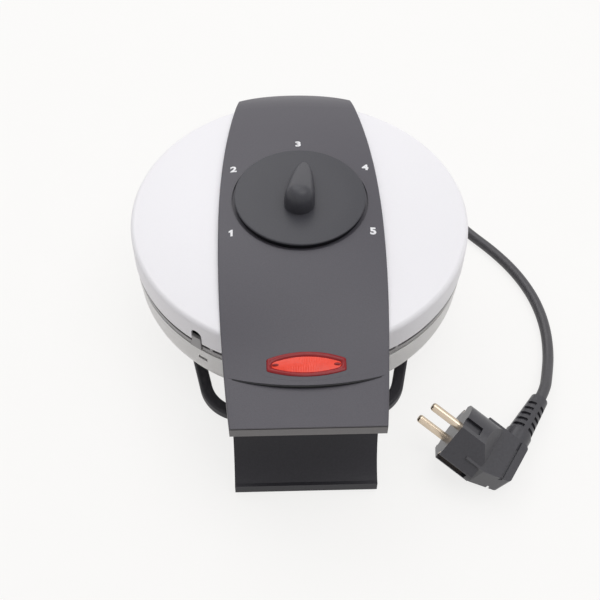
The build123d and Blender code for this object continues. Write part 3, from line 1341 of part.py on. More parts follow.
# Cord entry: a gland in the bottom with its strain relief, the clamp and the terminal block inside
CORD_R = 3.4
GLAND_Z = 14.5
GLAND_FRONT_Y = 55.0
GLAND_REAR_Y = 70.0
RELIEF_END_Y = 96.0
RELIEF_ROOT_R = 5.6
RELIEF_TIP_R = 4.4
CLAMP_X = -29.0
CLAMP_WIDE = 7.0
CLAMP_LONG = 22.0
CLAMP_OPEN = 8.0
CLAMP_LEG = 3.4
CLAMP_ROOF = 1.6
BLOCK_Y = 66.0
BLOCK_HALF = 13.0
bowl_floor_z = BOWL_BOTTOM_Z + BOWL_WALL
with BuildPart() as cord_gland:
    with BuildSketch(level(GLAND_Z - 6.5)):
        with Locations((GLAND_X, (GLAND_FRONT_Y + GLAND_REAR_Y) / 2)):
            RectangleRounded(17, GLAND_REAR_Y - GLAND_FRONT_Y, 3)
    extrude(amount=BOWL_BOTTOM_Z - GLAND_Z + 6.5)
    with BuildSketch(level(BOWL_BOTTOM_Z)):
        with Locations((GLAND_X, GLAND_Y)):
            Rectangle(12 - 2 * FIT, 10 - 2 * FIT)
    extrude(amount=BOWL_WALL + 3)
    with BuildSketch(Plane((GLAND_X, LID_Y + GLAND_REAR_Y - 1, GLAND_Z), z_dir=(0, 1, 0))):
        Circle(RELIEF_ROOT_R)
    with BuildSketch(Plane((GLAND_X, LID_Y + RELIEF_END_Y, GLAND_Z), z_dir=(0, 1, 0))):
        Circle(RELIEF_TIP_R)
    loft(ruled=True)
    for n in range(5):
        with BuildSketch(Plane((GLAND_X, LID_Y + GLAND_REAR_Y + 3 + n * 4, GLAND_Z), z_dir=(0, 1, 0))):
            Circle(RELIEF_ROOT_R + 1)
            Circle(RELIEF_ROOT_R - 1.1 - n * 0.2, mode=Mode.SUBTRACT)
        extrude(amount=1.4, mode=Mode.SUBTRACT)
with BuildPart() as cord_clamp:
    with BuildSketch(level(bowl_floor_z)):
        with Locations((CLAMP_X, GLAND_Y)):
            Rectangle(CLAMP_WIDE, CLAMP_LONG)
            Rectangle(CLAMP_WIDE, CLAMP_OPEN, mode=Mode.SUBTRACT)
    extrude(amount=CLAMP_LEG)
    with BuildSketch(level(bowl_floor_z + CLAMP_LEG)):
        with Locations((CLAMP_X, GLAND_Y)):
            Rectangle(CLAMP_WIDE, CLAMP_LONG)
    extrude(amount=CLAMP_ROOF)
    clamp_screw_y = (CLAMP_LONG + CLAMP_OPEN) / 4
    with BuildSketch(level(bowl_floor_z)):
        with Locations((CLAMP_X, GLAND_Y - clamp_screw_y), (CLAMP_X, GLAND_Y + clamp_screw_y)):
            Circle(SCREW_R)
    extrude(amount=5, mode=Mode.SUBTRACT)
with BuildPart() as terminal_block:
    with BuildSketch(level(bowl_floor_z)):
        with Locations((0, BLOCK_Y)):
            RectangleRounded(2 * BLOCK_HALF, 15, 2)
    extrude(amount=9)
    with BuildSketch(level(bowl_floor_z + 9)):
        with Locations((-8, BLOCK_Y), (0, BLOCK_Y), (8, BLOCK_Y)):
            Circle(2.4)
    extrude(amount=-4, mode=Mode.SUBTRACT)
with BuildPart() as thermal_cutout:
    with BuildSketch(level(PARTING_Z - PLATE_DEPTH)):
        with Locations((0, 20)):
            Circle(8)
    extrude(amount=-7)
    with BuildSketch(level(PARTING_Z - PLATE_DEPTH)):
        with Locations((0, 20)):
            Rectangle(24, 7)
    extrude(amount=-1)


def wire_along(points, radius):
    """One insulated wire inside the shells, from the lid's centre, along runs joined by arcs."""
    with BuildLine() as path:
        FilletPolyline(*[(x, y + LID_Y, z) for x, y, z in points], radius=radius)
    with BuildPart() as lead:
        with BuildSketch(Plane(path.wire() @ 0, z_dir=path.wire() % 0)):
            Circle(WIRE_R)
        sweep(path=path.wire())
    return lead.part


wire_z = bowl_floor_z + 1.8
rod_x, rod_y, rod_z = lower_rod_ends[0].X, lower_rod_ends[0].Y - LID_Y, lower_rod_ends[0].Z - HEATER_END
with BuildPart() as base_wiring:
    for sign in (-1, 1):
        x = sign * rod_x
        block_run = [(sign * BLOCK_HALF, BLOCK_Y, 27), (x, BLOCK_Y, 27)]
        add(wire_along(block_run + [(x, rod_y, 27), (x, rod_y, rod_z)], 2))
        y = GLAND_Y + sign * 2
        gland_run = [(GLAND_X + 5.9, y, wire_z), (-24, y, wire_z)]
        add(wire_along(gland_run + [(-20, y + 3, wire_z), (-BLOCK_HALF, y + 3, wire_z)], 2))
tab_y = THERMO_R + TAB_REACH
WIRE_SIDE = 1.6
rod_x, rod_y = upper_rod_ends[0].X, upper_rod_ends[0].Y - LID_Y
with BuildPart() as lid_wiring:
    add(wire_along([(0, tab_y, TAB_Z), (0, rod_y, TAB_Z), (rod_x - WIRE_R, rod_y, TAB_Z)], 8))
    rear_run = [(-19, -tab_y - 4), (-19, rod_y), (WIRE_R - rod_x, rod_y)]
    route = [(-WIRE_SIDE, -tab_y), (-WIRE_SIDE, -tab_y - 4)] + rear_run
    add(wire_along([(x, y, TAB_Z) for x, y in route], 2.5))
    route = [(WIRE_SIDE, -tab_y, TAB_Z), (WIRE_SIDE, -tab_y - 4, TAB_Z)]
    route += [(10, -30, TAB_Z), (10, -60, TAB_Z)]
    route += [(4, -80, 79.7), (0, -92, 75.2), (0, LENS_Y + 6, LAMP_ROOF_Z - 3)]
    add(wire_along(route, 4))

save(cord_gland, "cord_gland")
save(cord_clamp, "cord_clamp")
save(terminal_block, "terminal_block")
save(thermal_cutout, "thermal_cutout")
save(base_wiring, "base_wiring")
save(lid_wiring, "lid_wiring")

# Plug: an angled body lying on its side, its pins pointing left, to the rear and a little up
PLUG_AT = (83.2, -118.4)
PLUG_R = 18.4
PIN_AZIMUTH = 146.6
PIN_RISE = 20.0
DISC_THICK = 14.5
DISC_END = 22.0
FLANK_END = 24.5
GRIP_HALF = 9.2
GRIP_REAR_HALF = 8.6
GRIP_DEEP = 40.5
GRIP_LOW = -14.0
GRIP_LOW_REAR = -8.5
GRIP_HIGH = 17.5
GRIP_SEAM = 4.6
PLUG_PIN_R = 2.4
PIN_REACH = 19.0
PIN_SPACING = 19.0
PIN_ROOT = 9.0
GUIDE_WIDTH = 5.2
GUIDE_DEEP = 2.5
GUIDE_LONG = 10.4
CLIP_SLOT = (4.2, 3.0)
CLIP_SHEET = 0.8
CLIP_LONG = 17.0
BOOT_START = (-34.0, 25.5, 0.0)
BOOT_END = (-34.9, 54.6, -0.4)
BOOT_ROOT_R = 7.2
BOOT_TIP_R = 5.2
BOOT_SLOTS = 5
BOOT_PITCH = 4.6
BOOT_SLOT = 2.1
rise, heading = radians(PIN_RISE), radians(PIN_AZIMUTH)
pin_dir = Vector(cos(heading) * cos(rise), sin(heading) * cos(rise), sin(rise))
side_dir = Vector(sin(heading), -cos(heading), 0)
up_dir = pin_dir.cross(side_dir * -1)
# The rim of the disc rests on the table where its flanks begin
face_centre = Vector(PLUG_AT[0], PLUG_AT[1] + LID_Y, DISC_THICK * sin(rise) + PLUG_R * cos(rise))
plug_face = Plane(face_centre, x_dir=side_dir * -1, z_dir=pin_dir)


def plug_point(p, e, q):
    """A point of the plug: p out along the pins, e towards the cord, q up."""
    return face_centre + pin_dir * p + side_dir * e + up_dir * q


def plug_level(p):
    """The plane across the pins at p, its x away from the cord and its y up."""
    return Plane(plug_point(p, 0, 0), x_dir=side_dir * -1, z_dir=pin_dir)


boot_dir = (plug_point(*BOOT_END) - plug_point(*BOOT_START)).normalized()
with BuildPart() as plug_disc:
    with BuildSketch(plug_face):
        Circle(PLUG_R)
    extrude(amount=-DISC_END)
    # Two flats meet at the clip on the side away from the cord
    with BuildSketch(plug_face):
        for sign in (-1, 1):
            with BuildLine():
                Polyline(
                    (PLUG_R - 0.4, sign * 3),
                    (4.5, sign * 17.85),
                    (4.5, sign * 24),
                    (24, sign * 24),
                    (24, sign * 3),
                    close=True,
                )
            make_face()
    extrude(amount=-DISC_END, mode=Mode.SUBTRACT)
with BuildPart() as plug_grip:
    with BuildSketch(Plane(plug_point(0, 0, -GRIP_HALF), x_dir=pin_dir, z_dir=up_dir)) as grip_plan:
        with BuildLine():
            Polyline(
                (2 - DISC_THICK, -GRIP_LOW),
                (-FLANK_END, -GRIP_LOW),
                (-GRIP_DEEP, -GRIP_LOW_REAR),
                (-GRIP_DEEP, -GRIP_HIGH),
                (2 - DISC_THICK, -GRIP_HIGH),
                close=True,
            )
        make_face()
        fillet(grip_plan.vertices().group_by(Axis.X)[0], radius=2.5)
    extrude(amount=2 * GRIP_HALF)
with BuildPart() as plug_body:
    add(plug_disc.part)
    add(plug_grip.part)
    # Sloping flanks lead from the disc down to the grip
    with BuildSketch(Plane(face_centre, x_dir=pin_dir, z_dir=side_dir)):
        with BuildLine():
            Polyline(
                (1, PLUG_R + 0.5),
                (-DISC_THICK, PLUG_R + 0.5),
                (-FLANK_END, GRIP_HALF),
                (-GRIP_DEEP - 1, GRIP_REAR_HALF),
                (-GRIP_DEEP - 1, -GRIP_REAR_HALF),
                (-FLANK_END, -GRIP_HALF),
                (-DISC_THICK, -PLUG_R - 0.5),
                (1, -PLUG_R - 0.5),
                close=True,
            )
        make_face()
    extrude(amount=2 * PLUG_R, both=True, mode=Mode.INTERSECT)
    # A groove round the grip before its rear plate
    with BuildSketch(plug_level(-GRIP_DEEP + GRIP_SEAM)):
        with Locations((-(GRIP_LOW + GRIP_HIGH) / 2, 0)):
            Rectangle(60, 60)
            RectangleRounded(GRIP_HIGH - GRIP_LOW - 6.4, 2 * GRIP_REAR_HALF - 1.8, 3, mode=Mode.SUBTRACT)
    extrude(amount=1.6, mode=Mode.SUBTRACT)
    # The shoulder the strain relief grows from
    with BuildSketch(Plane(plug_point(*BOOT_START) - boot_dir * 14, z_dir=boot_dir)):
        Circle(BOOT_ROOT_R + 0.6)
    extrude(amount=14)
    # Guide grooves above and below, slots for the clips, and the pins' holes
    with BuildSketch(plug_face):
        for sign in (-1, 1):
            with Locations((0, sign * PLUG_R)):
                Rectangle(GUIDE_WIDTH, 2 * GUIDE_DEEP)
    extrude(amount=-GUIDE_LONG, mode=Mode.SUBTRACT)
    with BuildSketch(plug_face):
        for sign in (-1, 1):
            with Locations((sign * PLUG_R, 0)):
                Rectangle(2 * CLIP_SLOT[1], CLIP_SLOT[0])
    extrude(amount=-CLIP_LONG - 2, mode=Mode.SUBTRACT)
    with BuildSketch(plug_face):
        with Locations((0, -PIN_SPACING / 2), (0, PIN_SPACING / 2)):
            Circle(PLUG_PIN_R)
    extrude(amount=-PIN_ROOT, mode=Mode.SUBTRACT)
with BuildPart() as plug_pins:
    with BuildSketch(plug_level(PIN_REACH)):
        with Locations((0, -PIN_SPACING / 2), (0, PIN_SPACING / 2)):
            Circle(PLUG_PIN_R)
    extrude(amount=-PIN_REACH - PIN_ROOT)
    pin_rings = plug_pins.edges().filter_by(GeomType.CIRCLE)
    fillet(pin_rings.group_by(Axis(face_centre, pin_dir))[-1], radius=1.6)
with BuildPart() as plug_earth_clips:
    with BuildSketch(plug_face):
        for sign in (-1, 1):
            with Locations((sign * (PLUG_R - CLIP_SLOT[1] + CLIP_SHEET / 2), 0)):
                Rectangle(CLIP_SHEET, CLIP_SLOT[0] - 2 * FIT)
    extrude(amount=-CLIP_LONG)
with BuildPart() as plug_boot:
    with BuildSketch(Plane(plug_point(*BOOT_START), z_dir=boot_dir)):
        Circle(BOOT_ROOT_R)
    with BuildSketch(Plane(plug_point(*BOOT_END), z_dir=boot_dir)):
        Circle(BOOT_TIP_R)
    loft(ruled=True)
    for n in range(BOOT_SLOTS):
        slot_at = plug_point(*BOOT_START) + boot_dir * (BOOT_SLOT + n * BOOT_PITCH)
        with BuildSketch(Plane(slot_at, x_dir=up_dir, z_dir=boot_dir)):
            Circle(BOOT_ROOT_R + 2)
            Circle(BOOT_ROOT_R - 1.7 - n * 0.28, mode=Mode.SUBTRACT)
            Rectangle(3.0, 30, mode=Mode.SUBTRACT)
            Rectangle(30, 3.0, mode=Mode.SUBTRACT)
        extrude(amount=BOOT_SLOT, mode=Mode.SUBTRACT)

save(plug_body, "plug_body")
save(plug_pins, "plug_pins")
save(plug_earth_clips, "plug_earth_clips")
save(plug_boot, "plug_boot")

# Cord: a lead to the coil behind the rear foot, the coil, and the tail round to the plug
COIL_CENTRE_Y = 141.0
COIL_START = 171.0
COIL_END = 37.0
COIL_OUTER = 40.4
COIL_PITCH = 7.6
LAYER_RISE = 7.5
LAY = 0.1
TURNS = 3.0 + (COIL_START - COIL_END) / 360
coil_low_z = CORD_R + LAY
coil_high_z = coil_low_z + LAYER_RISE


def coil_point(turn):
    """Centre line of the coil: in at a steady rate, over and down in half a turn, out again."""
    off = turn - TURNS / 2
    if abs(off) < 0.25:
        shift = 0.125 + 2 * off**2
        part = (off + 0.25) / 0.5
        z = coil_high_z - LAYER_RISE * part**2 * (3 - 2 * part)
    else:
        shift = abs(off)
        z = coil_high_z if off < 0 else coil_low_z
    radius = COIL_OUTER - COIL_PITCH * (TURNS / 2 - shift)
    angle = radians(COIL_START - 360 * turn)
    return Vector(radius * cos(angle), LID_Y + COIL_CENTRE_Y + radius * sin(angle), z)


def coil_heading(turn):
    """Direction of the coil's centre line."""
    return (coil_point(turn + 0.0005) - coil_point(turn - 0.0005)).normalized()


def tangent_arcs(start, start_dir, end, end_dir):
    """Two tangent arcs from one point and direction to another, added to the line in hand."""
    chord = end - start
    both = start_dir + end_dir
    slack = 2 * (1 - start_dir.dot(end_dir))
    pull = (-chord.dot(both) + sqrt(chord.dot(both) ** 2 + slack * chord.dot(chord))) / slack
    joint = (start + end + (start_dir - end_dir) * pull) * 0.5
    joint_dir = (end - end_dir * pull - start - start_dir * pull).normalized()
    return TangentArc(start, joint, tangent=start_dir), TangentArc(joint, end, tangent=joint_dir)


coil_steps = ceil(TURNS * 4)
coil_turns = [TURNS * n / coil_steps for n in range(coil_steps + 1)]
coil_dirs = [coil_heading(turn) for turn in coil_turns]
coil_dirs[0] = Vector(coil_dirs[0].X, coil_dirs[0].Y, 0).normalized()
coil_dirs[-1] = Vector(coil_dirs[-1].X, coil_dirs[-1].Y, 0).normalized()
coil_first = coil_point(0)
coil_last = coil_point(TURNS)
with BuildLine() as coil_path:
    Line(coil_first - coil_dirs[0] * 2 * CORD_R, coil_first)
    for n in range(coil_steps):
        tangent_arcs(coil_point(coil_turns[n]), coil_dirs[n], coil_point(coil_turns[n + 1]), coil_dirs[n + 1])
    Line(coil_last, coil_last + coil_dirs[-1] * 2 * CORD_R)
coil_wire = coil_path.wire()
with BuildPart() as cord_coil:
    with BuildSketch(Plane(coil_first - coil_dirs[0] * 2 * CORD_R, z_dir=coil_dirs[0])):
        Circle(CORD_R)
    sweep(path=coil_wire)

# The coil's least gap to itself, measured on points along its centre line
samples = [coil_wire @ (n / 720) for n in range(721)]
spacing = coil_wire.length / 720
apart = ceil(6 * CORD_R / spacing)
least = min((samples[a] - samples[b]).length for a in range(721) for b in range(a + apart, 721))
print("coil: length", round(coil_wire.length, 1), "least gap to itself", round(least - 2 * CORD_R, 2))
coil_share = cord_coil.part.volume / (pi * CORD_R**2 * coil_wire.length)
print("coil: volume over section times length", round(coil_share, 4))


def cord_tube(name, points):
    """A free stretch of the cord: straight runs joined by arcs as wide as the shorter run allows."""
    route = [Vector(*point) for point in points]
    runs = [(b - a).length for a, b in zip(route, route[1:])]
    length = sum(runs)
    radii = []
    with BuildLine() as path:
        at = route[0]
        for n in range(1, len(route) - 1):
            before = (route[n] - route[n - 1]).normalized()
            after = (route[n + 1] - route[n]).normalized()
            half = acos(max(-1, min(1, before.dot(after)))) / 2
            reach = 0.45 * min(runs[n - 1], runs[n])
            radii.append(reach / tan(half))
            start = route[n] - before * reach
            Line(at, start)
            arc = TangentArc(start, route[n] + after * reach, tangent=before)
            length += arc.length - 2 * reach
            at = route[n] + after * reach
        Line(at, route[-1])
    with BuildPart() as tube:
        with BuildSketch(Plane(route[0], z_dir=(route[1] - route[0]).normalized())):
            Circle(CORD_R)
        sweep(path=path.wire())
    part_of = tube.part.volume / (pi * CORD_R**2 * length)
    print(name, "runs", [round(r, 1) for r in runs], "radii", [round(r, 1) for r in radii])
    print(name, "length", round(length, 1), "volume over section times length", round(part_of, 4))
    return tube


lead_end = coil_first - coil_dirs[0] * 2 * CORD_R
LEAD_RUN = 12.0
lead_start = Vector(GLAND_X, LID_Y + RELIEF_END_Y, GLAND_Z)
lead_points = [
    lead_start,
    lead_start + Vector(0, LEAD_RUN, 0),
    lead_end - coil_dirs[0] * LEAD_RUN,
    lead_end,
]
cord_lead = cord_tube("cord_lead", lead_points)
tail_start = coil_last + coil_dirs[-1] * 2 * CORD_R
tail_end = plug_point(*BOOT_END)
TAIL_BENDS = (
    (48.5, 143.6, 3.5),
    (67.5, 120.6, 3.45),
    (85.5, 97.0, 3.4),
    (102.5, 73.5, 3.4),
    (118.0, 50.5, 3.4),
    (133.5, 32.5, 3.4),
    (146.0, 12.5, 3.4),
    (154.0, -9.5, 3.4),
    (156.6, -32.0, 3.4),
    (155.2, -52.5, 4.4),
    (150.2, -72.5, 8.2),
)
tail_points = [tail_start]
for x, y, z in TAIL_BENDS:
    tail_points.append(Vector(x, y + LID_Y, z))
tail_points.append(tail_end)
cord_tail = cord_tube("cord_tail", tail_points)

save(cord_coil, "cord_coil")
save(cord_lead, "cord_lead")
save(cord_tail, "cord_tail")
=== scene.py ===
import bmesh
import bpy
import math
import numpy as np
from mathutils import Matrix, Vector


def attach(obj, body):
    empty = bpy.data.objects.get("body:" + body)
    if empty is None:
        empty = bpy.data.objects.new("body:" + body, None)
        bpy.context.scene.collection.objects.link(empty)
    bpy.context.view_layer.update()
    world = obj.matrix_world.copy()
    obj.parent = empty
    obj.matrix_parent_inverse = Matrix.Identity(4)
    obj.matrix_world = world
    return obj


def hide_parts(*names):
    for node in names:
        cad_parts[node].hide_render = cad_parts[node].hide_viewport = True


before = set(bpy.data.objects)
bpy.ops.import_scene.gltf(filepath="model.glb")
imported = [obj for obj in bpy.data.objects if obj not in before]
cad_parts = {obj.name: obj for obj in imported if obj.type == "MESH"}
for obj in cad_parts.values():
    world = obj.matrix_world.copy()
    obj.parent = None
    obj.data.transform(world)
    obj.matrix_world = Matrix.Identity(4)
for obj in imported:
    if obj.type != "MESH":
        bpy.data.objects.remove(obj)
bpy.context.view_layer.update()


# Camera at the photograph's angle: a 60 mm lens above the front of the handle,
# 0.58 m from the waffle maker, turned a little to the left and slightly rolled.
# Sizes and places stand in millimetres, and MM makes them metres
MM = 0.001
# The lid's centre lies this far behind the origin
LID_Y = 15.5
CAMERA_HEADING, CAMERA_PITCH, CAMERA_ROLL = -2.73, 51.48, 1.12
CAMERA_AIM = (-1.17, -48.8 + LID_Y, 57.14)
CAMERA_DISTANCE = 580.5


def add_piece(name, data):
    """An object that shows the data, at the origin."""
    piece = bpy.data.objects.new(name, data)
    bpy.context.scene.collection.objects.link(piece)
    return piece


def place_camera():
    """A camera whose axes are worked out from its heading, its pitch and its roll."""
    angles = (CAMERA_HEADING, CAMERA_PITCH, CAMERA_ROLL)
    heading, pitch, roll = (math.radians(angle) for angle in angles)
    flat = math.cos(pitch)
    back = Vector((math.sin(heading) * flat, -math.cos(heading) * flat, math.sin(pitch)))
    right = (-back).cross(Vector((0, 0, 1))).normalized()
    up = right.cross(-back)
    rolled_right = math.cos(roll) * right + math.sin(roll) * up
    rolled_up = math.cos(roll) * up - math.sin(roll) * right
    data = bpy.data.cameras.new("camera")
    data.sensor_width = 36.0
    data.sensor_fit = "HORIZONTAL"
    data.lens = 60.0
    data.clip_start = 0.01
    camera = add_piece("camera", data)
    axes = Matrix((rolled_right, rolled_up, back)).transposed().to_4x4()
    place = (Vector(CAMERA_AIM) + CAMERA_DISTANCE * back) * MM
    camera.matrix_world = Matrix.Translation(place) @ axes
    bpy.context.scene.camera = camera


place_camera()


# Mains cord: a round rubber-sheathed lead 6.8 mm thick, out of the gland under the
# bowl, in a neat coil behind the rear foot, then along the table to the angled plug.
CORD_RADIUS = 3.4


def cord_route():
    """The route's control points in millimetres: the lead, the coil and the tail.

    The coil winds clockwise. Its radius falls evenly by one pitch a turn on the upper layer,
    turns round softly in the middle half turn, where the cord drops to the lower layer, and
    grows evenly again. The control polygon stands outside the curve by the cosine of half
    the angle between its points.
    """
    centre_y, start, end = 141.0 + LID_Y, 171.0, 37.0
    outer, pitch, layer, clear = 40.4, 7.6, 7.5, 0.1
    points_a_turn, blend = 14, 0.25
    turns = 3.0 + (start - end) / 360
    turn = np.arange(0, turns, 1 / points_a_turn)[1:]
    off = turn - turns / 2
    part = np.clip((off + blend) / (2 * blend), 0, 1)
    shift = np.where(np.abs(off) < blend, blend / 2 + off**2 / (2 * blend), np.abs(off))
    z = CORD_RADIUS + clear + layer * (1 - part**2 * (3 - 2 * part))
    spiral = (outer - pitch * (turns / 2 - shift)) / math.cos(math.pi / points_a_turn)
    angle = np.radians(start - 360 * turn)
    coil = np.stack([spiral * np.cos(angle), centre_y + spiral * np.sin(angle), z], 1)
    lead = [
        (-44.0, 96.0 + LID_Y, 14.5),
        (-44.0, 108.0 + LID_Y, 14.5),
        (-42.8, 128.6 + LID_Y, 11.0),
    ]
    tail = [
        (48.5, 143.6 + LID_Y, 3.5),
        (67.5, 120.6 + LID_Y, 3.45),
        (85.5, 97.0 + LID_Y, 3.4),
        (102.5, 73.5 + LID_Y, 3.4),
        (118.0, 50.5 + LID_Y, 3.4),
        (133.5, 32.5 + LID_Y, 3.4),
        (146.0, 12.5 + LID_Y, 3.4),
        (154.0, -9.5 + LID_Y, 3.4),
        (156.6, -32.0 + LID_Y, 3.4),
        (154.6, -53.0 + LID_Y, 3.6),
        (149.6, -71.0 + LID_Y, 6.6),
        (145.6, -83.0 + LID_Y, 9.5),
        (140.52, -90.8 + LID_Y, 9.94),
    ]
    return np.concatenate([np.array(lead), coil, np.array(tail)])


def moulded(name, dark, light, roughness, grain, depth, specular=0.5):
    """Moulded surface: two close colours mixed by a fine noise, and a bump of the same grain.

    grain is the noise's scale in cycles per metre, depth the height of its bump in metres.
    """
    material = bpy.data.materials.new(name)
    material.use_nodes = True
    nodes, links = material.node_tree.nodes, material.node_tree.links
    shader = nodes["Principled BSDF"]
    place = nodes.new("ShaderNodeTexCoord").outputs["Object"]
    speck = nodes.new("ShaderNodeTexNoise")
    speck.inputs["Scale"].default_value = grain
    speck.inputs["Detail"].default_value = 3.0
    links.new(place, speck.inputs["Vector"])
    mix = nodes.new("ShaderNodeMix")
    mix.data_type = "RGBA"
    mix.inputs["A"].default_value = (*dark, 1)
    mix.inputs["B"].default_value = (*light, 1)
    links.new(speck.outputs["Fac"], mix.inputs["Factor"])
    links.new(mix.outputs["Result"], shader.inputs["Base Color"])
    shader.inputs["Roughness"].default_value = roughness
    shader.inputs["Specular IOR Level"].default_value = specular
    bump = nodes.new("ShaderNodeBump")
    bump.inputs["Strength"].default_value = 0.5
    bump.inputs["Distance"].default_value = depth
    links.new(speck.outputs["Fac"], bump.inputs["Height"])
    links.new(bump.outputs["Normal"], shader.inputs["Normal"])
    return material


def build_cord():
    """One NURBS curve through the route, as a free cord with its plug."""
    route = cord_route() * MM
    data = bpy.data.curves.new("mains_cord", "CURVE")
    data.dimensions = "3D"
    data.bevel_depth = CORD_RADIUS * MM
    data.bevel_resolution = 6
    data.resolution_u = 8
    data.use_fill_caps = True
    spline = data.splines.new("NURBS")
    spline.points.add(len(route) - 1)
    weighted = np.concatenate([route, np.ones((len(route), 1))], 1)
    spline.points.foreach_set("co", weighted.ravel())
    spline.order_u = 3
    spline.use_endpoint_u = True
    piece = add_piece("mains_cord", data)
    rubber = moulded(
        "cord_rubber",
        dark=(0.040, 0.038, 0.044),
        light=(0.062, 0.060, 0.067),
        roughness=0.42,
        grain=500,
        depth=0.00005,
        specular=0.6,
    )
    data.materials.append(rubber)
    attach(piece, "base")
    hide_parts("cord_lead", "cord_coil", "cord_tail")


build_cord()


# Stage: a pale table in a white room. Two large soft boxes stand above and behind,
# and the camera's side of the room gives little light, as in the photograph.
def seen_rays(nodes, links):
    """1 on camera, glossy and transmission rays, 0 on others: the larger of the three."""
    path = nodes.new("ShaderNodeLightPath")
    seen = path.outputs["Is Camera Ray"]
    for ray in ("Is Glossy Ray", "Is Transmission Ray"):
        larger = nodes.new("ShaderNodeMath")
        larger.operation = "MAXIMUM"
        links.new(seen, larger.inputs[0])
        links.new(path.outputs[ray], larger.inputs[1])
        seen = larger.outputs["Value"]
    return seen


def blend_shaders(nodes, links, share, plain, seen, end):
    """The plain shader and the one for seen rays, mixed by a share, into an output node."""
    mix = nodes.new("ShaderNodeMixShader")
    links.new(share, mix.inputs["Fac"])
    links.new(plain, mix.inputs[1])
    links.new(seen, mix.inputs[2])
    links.new(mix.outputs["Shader"], end.inputs["Surface"])


def build_floor():
    """A wide pale plane that takes the shadow, lifted towards white where the camera sees it."""
    half = 6
    mesh = bpy.data.meshes.new("floor")
    corners = [(-half, -half, 0), (half, -half, 0), (half, half, 0), (-half, half, 0)]
    mesh.from_pydata(corners, [], [(0, 1, 2, 3)])
    floor = add_piece("floor", mesh)
    table = moulded(
        "pale_table",
        dark=(0.86, 0.845, 0.83),
        light=(0.90, 0.885, 0.87),
        roughness=0.6,
        grain=40,
        depth=0.00002,
        specular=0.15,
    )
    nodes, links = table.node_tree.nodes, table.node_tree.links
    glow = nodes.new("ShaderNodeEmission")
    glow.inputs["Color"].default_value = (1.0, 0.995, 0.985, 1)
    glow.inputs["Strength"].default_value = 1.0
    share = nodes.new("ShaderNodeMath")
    share.operation = "MULTIPLY"
    share.inputs[1].default_value = 0.8
    links.new(seen_rays(nodes, links), share.inputs[0])
    plain = nodes["Principled BSDF"].outputs["BSDF"]
    end = nodes["Material Output"]
    blend_shaders(nodes, links, share.outputs["Value"], plain, glow.outputs["Emission"], end)
    mesh.materials.append(table)


def build_room():
    """A world that is white to the camera, in gloss and through glass, and dimmer from the front.

    The strength of its light rises from 0.20 to 0.72 with the ray's heading towards the rear.
    """
    world = bpy.data.worlds.new("room")
    bpy.context.scene.world = world
    world.use_nodes = True
    nodes, links = world.node_tree.nodes, world.node_tree.links
    walls = nodes["Background"]
    white = nodes.new("ShaderNodeBackground")
    white.inputs["Color"].default_value = (1.0, 0.99, 0.985, 1)
    white.inputs["Strength"].default_value = 1.0
    heading = nodes.new("ShaderNodeSeparateXYZ")
    links.new(nodes.new("ShaderNodeTexCoord").outputs["Generated"], heading.inputs["Vector"])
    fall = nodes.new("ShaderNodeMapRange")
    fall.inputs["From Min"].default_value = -0.9
    fall.inputs["From Max"].default_value = 0.3
    fall.inputs["To Min"].default_value = 0.20
    fall.inputs["To Max"].default_value = 0.72
    links.new(heading.outputs["Y"], fall.inputs["Value"])
    walls.inputs["Color"].default_value = (1.0, 0.995, 1.0, 1)
    links.new(fall.outputs["Result"], walls.inputs["Strength"])
    seen, end = seen_rays(nodes, links), nodes["World Output"]
    plain = walls.outputs["Background"]
    blend_shaders(nodes, links, seen, plain, white.outputs["Background"], end)


def soft_box(name, place, size, power):
    """A square area lamp that faces the middle of the table."""
    lamp = bpy.data.lights.new(name, "AREA")
    lamp.shape = "SQUARE"
    lamp.size = size
    lamp.energy = power
    piece = add_piece(name, lamp)
    piece.location = place
    piece.rotation_euler = (-Vector(place)).to_track_quat("-Z", "Y").to_euler()


build_floor()
build_room()
soft_box("box_rear", (-0.3, 0.9, 1.3), 1.0, 5.0)
soft_box("box_top", (0.5, -0.1, 1.6), 1.2, 8.5)
bpy.context.scene.view_settings.view_transform = "Standard"


# Lid, bowl and the ring between them: pressed steel under a silver lacquer with fine
# flake, satin on the crown, the rims rolled over. The ring is darker than the shells.
def dress(node, material):
    """Give a CAD node one material."""
    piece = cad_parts[node]
    piece.data.materials.clear()
    piece.data.materials.append(material)


def silver(name, dark, light, roughness):
    """Silver lacquer: fine flake in the colour, satin, with a weak clear coat."""
    lacquer = moulded(name, dark, light, roughness, grain=2400, depth=0.00003)
    shader = lacquer.node_tree.nodes["Principled BSDF"]
    shader.inputs["Metallic"].default_value = 0.05
    shader.inputs["Coat Weight"].default_value = 0.1
    shader.inputs["Coat Roughness"].default_value = 0.3
    return lacquer


lid_dark, lid_light = (0.84, 0.83, 0.86), (0.91, 0.90, 0.93)
bowl_dark, bowl_light = (0.72, 0.71, 0.70), (0.80, 0.79, 0.78)
ring_dark, ring_light = (0.27, 0.26, 0.265), (0.34, 0.33, 0.335)
dress("lid_shell", silver("lid_lacquer", lid_dark, lid_light, roughness=0.5))
dress("lower_shell", silver("bowl_lacquer", bowl_dark, bowl_light, roughness=0.4))
dress("lower_ring", silver("ring_lacquer", ring_dark, ring_light, roughness=0.35))


# Band and cover: one thick moulding across the lid, with the upper handle, in an
# anthracite satin lacquer over fine-grained plastic, and the plain cover under it.
band_lacquer = moulded(
    "band_lacquer",
    dark=(0.066, 0.062, 0.076),
    light=(0.094, 0.090, 0.105),
    roughness=0.42,
    grain=1500,
    depth=0.00006,
    specular=0.4,
)
cover_plastic = moulded(
    "cover_plastic",
    dark=(0.145, 0.138, 0.140),
    light=(0.185, 0.176, 0.178),
    roughness=0.45,
    grain=900,
    depth=0.00008,
)
dress("band", band_lacquer)
dress("handle_cover", cover_plastic)


